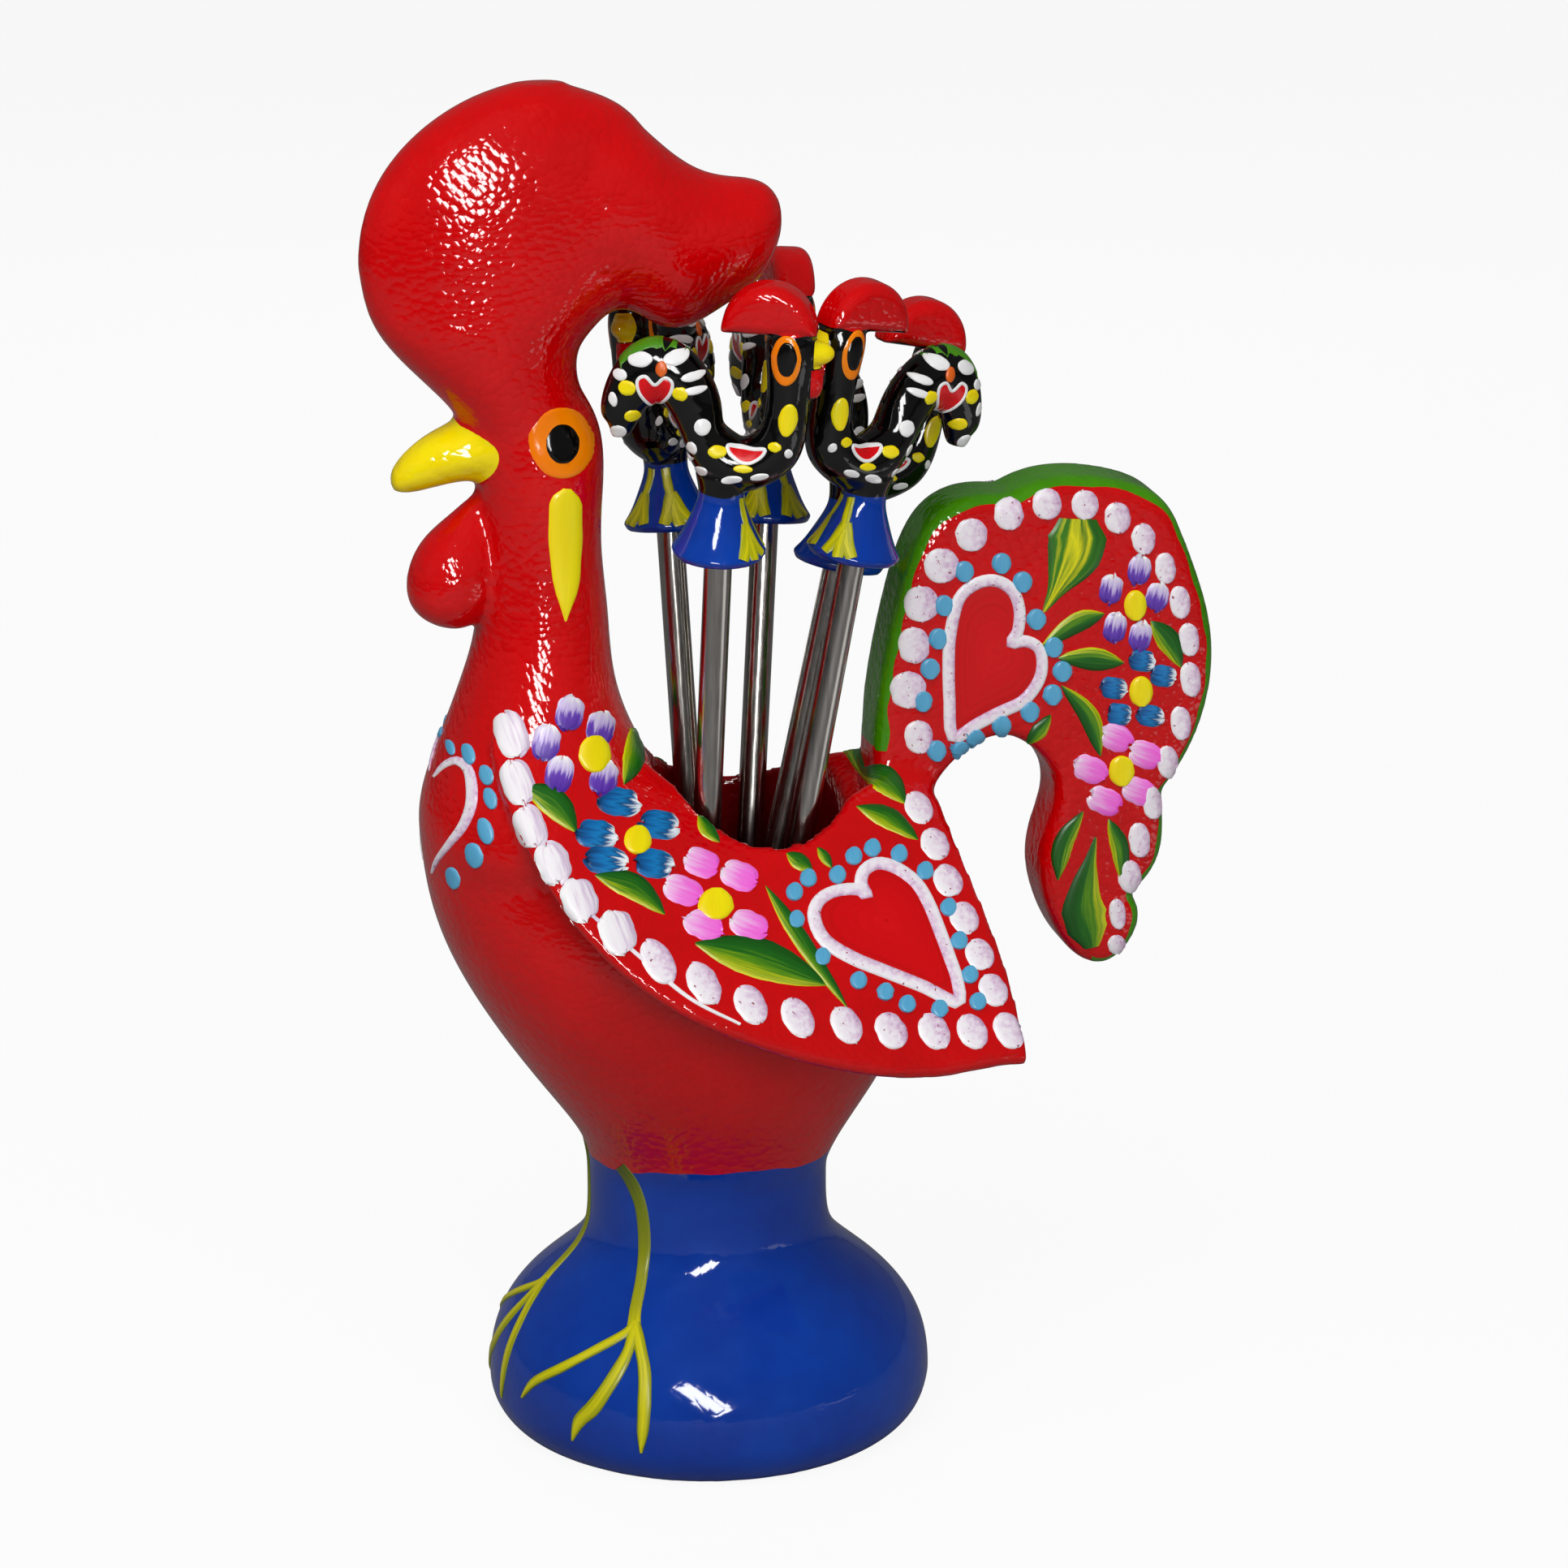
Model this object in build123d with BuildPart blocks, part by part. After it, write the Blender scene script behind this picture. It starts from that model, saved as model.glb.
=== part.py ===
from build123d import *
from math import cos, radians, sin
import os

# Rooster of Barcelos, a painted clay holder for party forks. All sizes in millimetres.
# Z is up, the foot stands on Z = 0 round the Z axis, the rooster looks along -X.
# The two sides are mirror images across the XZ plane; its left side is at -Y.

# Foot: a thrown bell, hollow from below.
foot_height = 28.5
foot_rest_radius = 21.6
foot_bulge_radius = 23.8
foot_bulge_height = 4.4
foot_shoulder = (20.2, 13.9)
foot_throat = (14.0, 19.8)
waist_radius = 12.8
foot_wall = 3.8
foot_roof = 4.2

# Body: level egg-shaped outlines, each (height, front, widest place, rear, half width).
body_levels = (
    (foot_height, -waist_radius, 0.0, waist_radius, waist_radius),
    (34.0, -14.8, 0.0, 15.6, 15.0),
    (42.0, -20.4, -1.0, 20.4, 18.6),
    (50.0, -25.1, -3.0, 23.3, 20.3),
    (57.0, -28.2, -6.0, 24.5, 19.8),
    (63.0, -29.8, -9.0, 24.9, 17.6),
    (66.0, -30.3, -12.0, 25.0, 15.6),
)

# Cup in the back that holds the forks: an oval hole, a little wider at the rim, with a floor scooped
# out to a bowl. Its ovals are (middle, half length, half width). It is as deep as the forks need for
# their own bell feet to stand at one height over the table.
fork_bell_height = 93.4
cup_bowl_depth = 8.0
cup_bowl_shares = (0.2, 0.45, 0.7, 1.0)
cup_bowl = (2.5, 10.5, 11.5)
cup_top_height = 90.0
cup_top = (5.4, 11.8, 13.2)

# Neck and head: level oval outlines, each (height, front, back, half width).
neck_levels = (
    (60.0, -27.5, -3.0, 13.0),
    (66.0, -30.2, -1.0, 15.1),
    (70.5, -30.4, -3.6, 14.4),
    (75.0, -29.3, -6.4, 12.2),
    (81.0, -27.1, -9.4, 9.7),
    (87.0, -25.0, -11.1, 7.9),
    (94.0, -24.0, -11.7, 6.8),
    (101.0, -23.7, -11.4, 6.5),
    (107.0, -24.2, -10.8, 6.6),
    (112.0, -25.0, -11.6, 5.8),
    (116.0, -22.5, -14.5, 3.2),
)

# Comb: a thick swelling lobe that rises from the head, (height, front, back, half thickness),
# and a second one that curls back over the neck, (x, underside, top, half thickness).
comb_levels = (
    (107.5, -24.4, -12.4, 5.8),
    (112.0, -25.9, -12.6, 6.0),
    (116.0, -29.3, -13.4, 6.3),
    (120.0, -32.9, -12.6, 6.5),
    (124.0, -34.9, -8.0, 6.5),
    (128.5, -35.6, -4.0, 6.5),
    (133.0, -35.0, -3.0, 6.4),
    (138.0, -32.7, -4.5, 6.0),
    (142.0, -28.9, -6.8, 5.2),
    (145.0, -23.8, -11.2, 3.6),
    (146.4, -19.4, -14.4, 1.4),
)
comb_curl_levels = (
    (-16.0, 123.5, 143.5, 5.5),
    (-10.0, 122.3, 144.3, 6.0),
    (-6.0, 121.2, 141.0, 6.0),
    (-2.6, 120.2, 138.0, 5.7),
    (1.0, 121.8, 136.1, 5.2),
    (4.4, 123.9, 135.5, 4.5),
    (7.0, 127.0, 134.4, 3.0),
    (8.0, 129.6, 132.8, 1.3),
)

# Beak: upright oval outlines, each (distance forward, middle height, half height, half width).
beak_levels = (
    (18.5, 109.3, 3.6, 4.6),
    (23.5, 109.0, 3.5, 4.3),
    (27.5, 108.2, 3.0, 3.4),
    (30.5, 107.0, 2.4, 2.5),
    (32.2, 106.2, 1.5, 1.6),
    (32.8, 105.9, 0.7, 0.8),
)

# Wattle: a round drop hanging from the throat.
wattle_top = (-22.6, 106.0)
wattle_end = (-28.4, 90.2)
wattle_radius = 4.4
wattle_widest = 0.66

# Wings: each line runs from a place on the shoulder, (x, y, z), to the free edge.
wing_lines = (
    ((-17.0, -4.5, 85.5), (-24.4, -8.2, 80.6)),
    ((-13.5, -6.0, 80.5), (-23.0, -13.8, 73.4)),
    ((-8.5, -6.5, 76.5), (-19.0, -19.8, 66.0)),
    ((-3.5, -8.0, 72.5), (-12.2, -24.4, 58.8)),
    ((2.5, -10.0, 69.6), (-2.5, -26.6, 53.0)),
    ((8.5, -10.0, 69.2), (8.5, -27.0, 48.9)),
    ((14.5, -7.0, 71.0), (18.5, -26.4, 47.2)),
    ((23.4, -3.0, 71.0), (27.6, -25.0, 47.8)),
)
wing_edge_thickness = 2.2
wing_root_thickness = 7.0
wing_swell = 1.3

# Tail: a flat plate of scalloped feathers that arches over and hangs down behind. Its edges are (x, z)
# places from the root up the front edge, along each feather, and back under the arch to the root.
tail_thickness = 8.0
tail_edge_radius = 1.5
tail_root_sink = 3.0
tail_root_front = 17.2
tail_root_rear = 23.4
tail_front_edge = ((17.6, 76.0), (20.2, 91.0), (24.2, 99.6), (31.0, 100.9))
tail_feathers = (
    ((37.5, 102.5), (44.9, 100.2), (49.7, 94.9)),
    ((53.9, 82.0), (49.0, 67.0)),
    ((48.6, 59.4), (45.5, 55.6)),
)
tail_inner_edge = (
    (46.0, 50.6), (43.4, 48.0), (37.4, 52.2), (34.5, 63.0), (35.0, 70.4), (30.6, 74.5), (25.6, 71.6),
)

# Party forks: a round steel shank with two tines, and a cast rooster on top.
shank_diameter = 2.9
shank_reach = 58.8
socket_depth = 5.0
socket_clearance = 0.1
tine_length = 13.0
tine_width = 1.4
tine_gap = 1.7
tine_thickness = 1.6
tine_point = 0.5
fork_neck_length = 7.0
fork_rest_gap = 0.4

# Cast rooster on each fork, measured from the underside of its own bell foot; it looks along +X.
# Its body is one bent stem from the head down the neck, round the belly and over the tail: places
# (x, z, half width, half thickness) and the direction of the stem at each, in degrees.
mini_foot_radius = 4.9
mini_foot_lip = 0.7
mini_foot_height = 7.2
mini_waist_radius = 2.9
mini_waist_top = 9.0
mini_body_stations = (
    (6.4, 25.2, 1.9, 1.8),
    (6.5, 22.6, 2.6, 2.5),
    (6.4, 18.5, 2.2, 2.5),
    (6.2, 14.6, 2.3, 2.6),
    (4.8, 11.2, 2.8, 2.8),
    (2.0, 9.9, 2.9, 2.9),
    (-0.8, 11.2, 2.8, 2.8),
    (-2.5, 14.4, 2.4, 2.6),
    (-3.6, 17.2, 2.8, 2.4),
    (-6.4, 19.5, 3.4, 2.3),
    (-9.3, 17.6, 2.8, 2.2),
    (-10.5, 14.2, 1.9, 1.8),
    (-10.6, 12.2, 0.8, 0.9),
)
mini_body_headings = (-90, -90, -90, -97, -135, -180, -225, -255, -240, -180, -125, -92, -88)
mini_comb_middle = (4.2, 24.2)
mini_comb_half_length = 4.9
mini_comb_height = 5.2
mini_comb_thickness = 4.4
mini_comb_edge_radius = 1.3
mini_beak_middle = (8.3, 22.3)
mini_beak_half_length = 2.6
mini_beak_radius = 1.4
mini_wattle_middle = (8.8, 19.3)
mini_wattle_half_height = 2.0
mini_wattle_radius = 1.1

# Forks: where the tines stand on the cup floor and where the bell foot is, as (x, y), and the heading.
fork_stands = ((-2.3, -4.8), (0.9, 3.9), (4.4, 3.7), (3.5, -6.3), (1.9, 0.0))
fork_bells = ((-1.0, -10.3), (-0.9, 12.2), (9.5, 12.5), (14.0, -7.0), (14.9, 2.8))
fork_headings = (-18, -124, -90, -161, 12)

with BuildPart() as foot:
    with BuildSketch(Plane.XZ):
        with BuildLine():
            Polyline((waist_radius, foot_height), (0, foot_height), (0, 0), (foot_rest_radius, 0))
            bulge = (foot_bulge_radius, foot_bulge_height)
            RadiusArc((foot_rest_radius, 0), bulge, -foot_bulge_height * 1.1)
            Spline(bulge, foot_shoulder, foot_throat, (waist_radius, foot_height),
                   tangents=((0, 1), (0, 1)))
        make_face()
    revolve(axis=Axis.Z)
    with BuildSketch(Plane.XZ):
        with BuildLine():
            hollow_top = foot_height - foot_roof
            Polyline((waist_radius - foot_wall, hollow_top), (0, hollow_top), (0, 0),
                     (foot_rest_radius - foot_wall, 0))
            Spline((foot_rest_radius - foot_wall, 0),
                   (foot_bulge_radius - foot_wall, foot_bulge_height),
                   (foot_shoulder[0] - foot_wall * 0.8, foot_shoulder[1] - foot_wall * 0.6),
                   (foot_throat[0] - foot_wall * 0.8, foot_throat[1] - foot_wall * 0.6),
                   (waist_radius - foot_wall, hollow_top), tangents=((0.5, 1), (0, 1)))
        make_face()
    revolve(axis=Axis.Z, mode=Mode.SUBTRACT)

with BuildPart() as cup_space:
    cup_floor_height = fork_bell_height - shank_reach
    middle, half_length, half_width = cup_bowl
    for share in cup_bowl_shares:
        with BuildSketch(Plane.XY.offset(cup_floor_height + cup_bowl_depth * share**2)):
            with Locations((middle, 0)):
                Ellipse(half_length * share, half_width * share)
    loft()
    for height, (middle, half_length, half_width) in ((cup_floor_height + cup_bowl_depth, cup_bowl),
                                                      (cup_top_height, cup_top)):
        with BuildSketch(Plane.XY.offset(height)):
            with Locations((middle, 0)):
                Ellipse(half_length, half_width)
    loft()

with BuildPart() as body:
    for height, front, widest, rear, half_width in body_levels:
        with BuildSketch(Plane.XY.offset(height)):
            with BuildLine():
                EllipticalCenterArc((widest, 0), widest - front, half_width, start_angle=90, arc_size=180)
                EllipticalCenterArc((widest, 0), rear - widest, half_width, start_angle=-90, arc_size=180)
            make_face()
    loft()
    add(cup_space.part, mode=Mode.SUBTRACT)

with BuildPart() as neck_head:
    for height, front, back, half_width in neck_levels:
        with BuildSketch(Plane.XY.offset(height)):
            with Locations(((front + back) / 2, 0)):
                Ellipse((back - front) / 2, half_width)
    loft()
    add(body.part, mode=Mode.SUBTRACT)
    add(cup_space.part, mode=Mode.SUBTRACT)

with BuildPart() as comb:
    for height, front, back, half_thickness in comb_levels:
        with BuildSketch(Plane.XY.offset(height)):
            with Locations(((front + back) / 2, 0)):
                Ellipse((back - front) / 2, half_thickness)
    loft()
    for x, low, high, half_thickness in comb_curl_levels:
        with BuildSketch(Plane.YZ.offset(x)):
            with Locations((0, (low + high) / 2)):
                Ellipse(half_thickness, (high - low) / 2)
    loft()
    add(neck_head.part, mode=Mode.SUBTRACT)

with BuildPart() as beak:
    for forward, middle, half_height, half_width in beak_levels:
        with BuildSketch(Plane.YZ.offset(-forward)):
            with Locations((0, middle)):
                Ellipse(half_width, half_height)
    loft()
    add(neck_head.part, mode=Mode.SUBTRACT)
    add(comb.part, mode=Mode.SUBTRACT)

with BuildPart() as wattle:
    along = Vector(wattle_end[0] - wattle_top[0], 0, wattle_end[1] - wattle_top[1])
    drop = Plane(origin=(wattle_top[0], 0, wattle_top[1]), x_dir=along, z_dir=(0, -1, 0))
    with BuildSketch(drop):
        with BuildLine():
            Spline((0, 0), (along.length * wattle_widest, wattle_radius), (along.length, 0),
                   tangents=((1, 0.35), (0, -1)))
            Line((along.length, 0), (0, 0))
        make_face()
    revolve(axis=Axis(drop.origin, along))
    add(neck_head.part, mode=Mode.SUBTRACT)
    add(beak.part, mode=Mode.SUBTRACT)

with BuildPart() as tail:
    with BuildSketch(Plane.XZ):
        with BuildLine():
            tail_root_height = body_levels[-1][0] - tail_root_sink
            inner_edge = (*tail_inner_edge, (tail_root_rear, tail_root_height))
            corner = (tail_root_front, tail_root_height)
            for edge in (tail_front_edge, *tail_feathers, inner_edge):
                Spline(corner, *edge)
                corner = edge[-1]
            Line(corner, (tail_root_front, tail_root_height))
        make_face()
    extrude(amount=tail_thickness / 2, both=True)
    sides = tail.faces().filter_by(Axis.Y)
    fillet(sides.edges(), tail_edge_radius)
    add(body.part, mode=Mode.SUBTRACT)
    add(cup_space.part, mode=Mode.SUBTRACT)

with BuildPart() as left_wing:
    for shoulder, edge in wing_lines:
        run = Vector(edge) - Vector(shoulder)
        flat = Vector(run.X, run.Y, 0)
        width, fall = flat.length, -run.Z
        up = Vector(fall, width) / run.length
        out = Vector(width, -fall) / run.length
        rim = Vector(width, -fall)
        with BuildSketch(Plane(origin=shoulder, x_dir=flat, z_dir=flat.cross(Vector(0, 0, 1)))):
            with BuildLine():
                under = rim - up * wing_edge_thickness
                ThreePointArc((0, 0), rim / 2 + up * wing_swell, rim)
                ThreePointArc(rim, (rim + under) / 2 + out * wing_edge_thickness / 2, under)
                Line(under, up * -wing_root_thickness)
                Line(up * -wing_root_thickness, (0, 0))
            make_face()
    loft()
    for neighbour in (body, neck_head, tail, cup_space):
        add(neighbour.part, mode=Mode.SUBTRACT)

with BuildPart() as right_wing:
    add(left_wing.part.mirror(Plane.XZ))

with BuildPart() as mini_body:
    for (x, z, half_width, half_thickness), heading in zip(mini_body_stations, mini_body_headings):
        along = Vector(cos(radians(heading)), 0, sin(radians(heading)))
        with BuildSketch(Plane(origin=(x, 0, z), x_dir=(0, 1, 0), z_dir=along)):
            Ellipse(half_thickness, half_width)
    loft()

with BuildPart() as mini_rooster:
    with BuildSketch(Plane.XZ):
        with BuildLine():
            lip = (mini_foot_radius, mini_foot_lip)
            Polyline((mini_waist_radius, mini_foot_height), (mini_waist_radius, mini_waist_top),
                     (0, mini_waist_top), (0, 0), (mini_foot_radius - mini_foot_lip / 2, 0))
            Line((mini_foot_radius - mini_foot_lip / 2, 0), lip)
            Spline(lip, (mini_waist_radius, mini_foot_height), tangents=((-0.8, 1), (0, 1)))
        make_face()
    revolve(axis=Axis.Z)
    add(mini_body.part)
    with BuildSketch(Plane.XZ):
        with Locations(mini_beak_middle):
            Ellipse(mini_beak_half_length, mini_beak_radius)
            Rectangle(2 * mini_beak_half_length, mini_beak_radius, align=(Align.CENTER, Align.MAX),
                      mode=Mode.SUBTRACT)
    revolve(axis=Axis((mini_beak_middle[0], 0, mini_beak_middle[1]), (1, 0, 0)))
    with BuildSketch(Plane.XZ):
        with Locations(mini_wattle_middle):
            Ellipse(mini_wattle_radius, mini_wattle_half_height)
            Rectangle(mini_wattle_radius, 2 * mini_wattle_half_height, align=(Align.MAX, Align.CENTER),
                      mode=Mode.SUBTRACT)
    revolve(axis=Axis((mini_wattle_middle[0], 0, mini_wattle_middle[1]), (0, 0, 1)))
    with BuildSketch():
        Circle(shank_diameter / 2 + socket_clearance)
    extrude(amount=socket_depth, mode=Mode.SUBTRACT)

with BuildPart() as mini_comb:
    with BuildSketch(Plane.XZ):
        with Locations(mini_comb_middle):
            Ellipse(mini_comb_half_length, mini_comb_height)
            Rectangle(2 * mini_comb_half_length, mini_comb_height, align=(Align.CENTER, Align.MAX),
                      mode=Mode.SUBTRACT)
    extrude(amount=mini_comb_thickness / 2, both=True)
    fillet(mini_comb.faces().filter_by(Axis.Y).edges(), mini_comb_edge_radius)

with BuildPart() as shank:
    shank_radius = shank_diameter / 2
    tine_top = tine_length - shank_reach
    neck_top = tine_top + fork_neck_length
    fork_half_width = tine_gap / 2 + tine_width
    with BuildSketch(Plane.XZ):
        with BuildLine():
            Polyline((0, socket_depth), (shank_radius, socket_depth), (shank_radius, neck_top),
                     (tine_thickness / 2, tine_top), (0, tine_top), (0, socket_depth))
        make_face()
    revolve(axis=Axis.Z)
    with BuildSketch(Plane.XZ):
        with BuildLine():
            Polyline((0, neck_top), (shank_radius, neck_top), (fork_half_width, tine_top),
                     (tine_gap / 2 + tine_width / 2, -shank_reach),
                     (tine_gap / 2, -shank_reach + tine_point), (tine_gap / 2, tine_top - tine_gap))
            RadiusArc((tine_gap / 2, tine_top - tine_gap), (0, tine_top - tine_gap / 2), -tine_gap / 2)
            Line((0, tine_top - tine_gap / 2), (0, neck_top))
        make_face()
        mirror(about=Plane.YZ)
    extrude(amount=tine_thickness / 2, both=True)

os.makedirs("parts", exist_ok=True)
pieces = {
    "foot": foot, "body": body, "neck_head": neck_head, "comb": comb, "beak": beak,
    "wattle": wattle, "tail": tail, "left_wing": left_wing, "right_wing": right_wing,
}
for name, piece in pieces.items():
    piece.part.label = name
    export_step(piece.part, f"parts/{name}.step")

for number, (stand, bell, heading) in enumerate(zip(fork_stands, fork_bells, fork_headings), 1):
    rise = (shank_reach**2 - (bell[0] - stand[0])**2 - (bell[1] - stand[1])**2)**0.5
    lean = Vector(bell[0] - stand[0], bell[1] - stand[1], rise).normalized()
    look = Vector(cos(radians(heading)), sin(radians(heading)), 0)
    side = Vector(-look.Y, look.X, 0)
    # The highest point of the bowl under the tips carries the fork.
    floor_heights = []
    for forward in (-fork_half_width, fork_half_width):
        for across in (-tine_thickness / 2, tine_thickness / 2):
            tip = Vector(*stand) + look * forward + side * across
            share = Vector((tip.X - cup_bowl[0]) / cup_bowl[1], tip.Y / cup_bowl[2]).length
            floor_heights.append(cup_floor_height + cup_bowl_depth * share**2)
    tips = Vector(*stand, max(floor_heights)) + lean * fork_rest_gap
    place = Plane(origin=tips + lean * shank_reach, x_dir=look - lean * look.dot(lean), z_dir=lean)
    with BuildPart() as fork_finial:
        with Locations(place):
            add(mini_rooster.part)
            add(mini_comb.part)
    with BuildPart() as fork_shank:
        with Locations(place):
            add(shank.part)
    for kind, piece in (("finial", fork_finial), ("shank", fork_shank)):
        piece.part.label = f"fork_{number}_{kind}"
        export_step(piece.part, f"parts/fork_{number}_{kind}.step")
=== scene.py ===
# %% [markdown]
# # A painted rooster of Barcelos with party forks
# The real object is modelled in clay, fired, dipped or brushed in gloss enamel and then decorated by hand
# with dots, hearts and flowers. The CAD model gives every solid its place. This script keeps those solids
# as the frame, melts the clay ones into one skin, and lays the decoration on that skin as thin raised
# strokes of paint.

# %% Load the frame
import math

import bmesh
import bpy
import numpy as np
from mathutils import Matrix, Vector, noise
from mathutils.bvhtree import BVHTree


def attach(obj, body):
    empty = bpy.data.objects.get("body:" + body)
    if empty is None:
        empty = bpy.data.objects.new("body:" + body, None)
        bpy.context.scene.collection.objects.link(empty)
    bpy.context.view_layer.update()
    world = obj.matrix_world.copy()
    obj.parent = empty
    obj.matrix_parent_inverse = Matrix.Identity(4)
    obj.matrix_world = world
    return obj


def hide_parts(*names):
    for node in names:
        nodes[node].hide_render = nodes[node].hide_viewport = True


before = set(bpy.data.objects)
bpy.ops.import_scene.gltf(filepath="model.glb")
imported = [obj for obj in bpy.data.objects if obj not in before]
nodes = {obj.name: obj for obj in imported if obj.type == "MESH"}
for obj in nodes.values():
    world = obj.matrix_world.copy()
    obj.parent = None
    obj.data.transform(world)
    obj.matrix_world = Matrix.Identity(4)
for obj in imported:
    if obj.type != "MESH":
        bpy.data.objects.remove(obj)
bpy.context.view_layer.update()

MM = 0.001

# %% [markdown]
# ## Camera
# The photograph is square and shows the rooster's left side, turned a little to its front and seen from
# above. A long lens far away gives the same weak perspective. The same numbers also turn a pixel of the
# photograph into a ray, which is how the painted motifs find their place on the clay.

# %% Camera and pixel rays
photo_side = 1932
focal_pixels = 6978
sensor_mm = 36
sight_end_m = 10
camera_target = Vector((8.5, 0, 70)) * MM
camera_distance = 600 * MM
camera_turn = math.radians(-14)
camera_rise = math.radians(18)

to_right = Vector((math.cos(camera_turn), math.sin(camera_turn), 0))
to_camera = Vector((math.sin(camera_turn) * math.cos(camera_rise),
                    -math.cos(camera_turn) * math.cos(camera_rise), math.sin(camera_rise)))
to_top = to_camera.cross(to_right)
camera = bpy.data.objects.new("camera", bpy.data.cameras.new("camera"))
bpy.context.scene.collection.objects.link(camera)
camera.data.sensor_width = sensor_mm
camera.data.lens = sensor_mm * focal_pixels / photo_side
camera.data.clip_end = sight_end_m
camera.location = camera_target + to_camera * camera_distance
camera.rotation_euler = to_camera.to_track_quat("Z", "Y").to_euler()
bpy.context.scene.camera = camera


def photo_ray(pixel):
    """Where the ray of a pixel starts, and its direction."""
    across = (pixel[0] - photo_side / 2) / focal_pixels
    up = (photo_side / 2 - pixel[1]) / focal_pixels
    return camera.location, (to_right * across + to_top * up - to_camera).normalized()


print("lens", round(camera.data.lens, 1), "mm at", [round(c, 4) for c in camera.location])

# %% [markdown]
# ## Clay skin
# On the real rooster the neck, comb, wings and tail are separate lumps of clay, smoothed into each other
# with slip before firing, so no seam shows under the enamel. Copies of the CAD meshes are joined, remeshed
# with voxels finer than half a millimetre and smoothed, a little everywhere and more round the joints that
# the potter rubbed out.

# %% Join, remesh and smooth
clay_voxel_mm, even_rounds, rubbing_rounds, weight_steps = 0.45, 6, 40, 10
smooth_share = 0.5


def new_piece(name, mesh):
    piece = bpy.data.objects.new(name, mesh)
    bpy.context.scene.collection.objects.link(piece)
    return piece


def baked(piece):
    """The mesh of a piece with its modifiers applied."""
    mesh = bpy.data.meshes.new_from_object(piece.evaluated_get(bpy.context.evaluated_depsgraph_get()))
    bpy.data.objects.remove(piece)
    return mesh


def melted(sources, place, voxel_mm):
    """One closed mesh round several, moved to a place and remeshed with voxels."""
    lump = bmesh.new()
    for source in sources:
        lump.from_mesh(source)
    bmesh.ops.transform(lump, matrix=place, verts=lump.verts)
    mesh = bpy.data.meshes.new("lump")
    lump.to_mesh(mesh)
    lump.free()
    piece = new_piece("lump", mesh)
    remesh = piece.modifiers.new("remesh", "REMESH")
    remesh.mode = "VOXEL"
    remesh.voxel_size = voxel_mm * MM
    return baked(piece)


def smoothed(mesh, rounds, weights=None):
    """A mesh after some rounds of smoothing, stronger where the weights of its points are higher."""
    piece = new_piece("smoothing", mesh)
    smooth = piece.modifiers.new("smooth", "SMOOTH")
    smooth.factor = smooth_share
    smooth.iterations = rounds
    if weights is not None:
        group = piece.vertex_groups.new(name="rubbed")
        for level in range(1, weight_steps + 1):
            chosen = np.flatnonzero(np.round(weights * weight_steps) == level)
            group.add(chosen.tolist(), level / weight_steps, "REPLACE")
        smooth.vertex_group = "rubbed"
    return baked(piece)


def places(mesh):
    """The points of a mesh in millimetres."""
    found = np.empty(len(mesh.vertices) * 3, np.float32)
    mesh.vertices.foreach_get("co", found)
    return found.reshape(-1, 3) / MM


clay_nodes = ["foot", "body", "neck_head", "comb", "beak", "wattle", "tail", "left_wing", "right_wing"]
rubbed_joints = (
    ((-18, 0, 111), 9.0), ((-17, 0, 119), 8.0), ((-20, 0, 66), 17.0), ((0, 0, 28.5), 13.0),
    ((-14, 0, 84), 9.0), ((20, 0, 70), 8.0), ((-12, 0, 126), 10.0),
)
rub_full, rub_fade = 2, 1.6
clay = melted([nodes[node].data for node in clay_nodes], Matrix.Identity(4), clay_voxel_mm)
clay = smoothed(clay, even_rounds)
spots = places(clay)
weights = np.zeros(len(spots))
for centre, reach in rubbed_joints:
    away = np.linalg.norm(spots - np.array(centre), axis=1)
    weights = np.maximum(weights, np.clip(rub_full - rub_fade * away / reach, 0, 1))
clay = smoothed(clay, rubbing_rounds, weights)
print("clay skin:", len(clay.vertices), "points")

# %% [markdown]
# ## Pulled one by one
# A modelled rooster is never as even as a drawing. Laid over the photograph, the outline was still a
# millimetre or two off at the tail and less at the neck, the breast and the corners of the wings. A
# sculpting brush would mend that by hand; here each pull is written down as a centre (x, z), a reach and a
# move in millimetres, and fades out like a bell curve. The tail is thin, so its pulls leave the wings
# beside it alone.

# %% Pull the skin
tail_from_mm, tail_to_mm, tail_thick_mm, tail_shift_mm = 20, 32, (6, 9), 1.0
tail_pulls = (((34.5, 67), 6.5, (1.3, 0)), ((49, 64), 5, (-0.7, 0)), ((40, 49), 7, (-0.9, 0)),
              ((47, 97), 6, (0.5, 1.3)))
body_pulls = (((-10, 91), 9, (1.0, 0)), ((-26, 54), 12, (-0.6, 0)), ((-29, 80), 8, (0.2, 0)),
              ((-36, 132), 14, (-0.2, 0)), ((-31, 100), 6, (-0.5, 0)), ((26, 54), 8, (0.9, 0)),
              ((30, 45), 5, (0.5, -0.9)))


def pulled(spots, pulls):
    """How far a list of pulls moves each spot, as (x, z)."""
    move = np.zeros((len(spots), 2))
    for centre, reach, pull in pulls:
        away = np.linalg.norm(spots[:, [0, 2]] - np.array(centre), axis=1)
        move += np.exp(-(away / reach) ** 2)[:, None] * np.array(pull)
    return move


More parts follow.
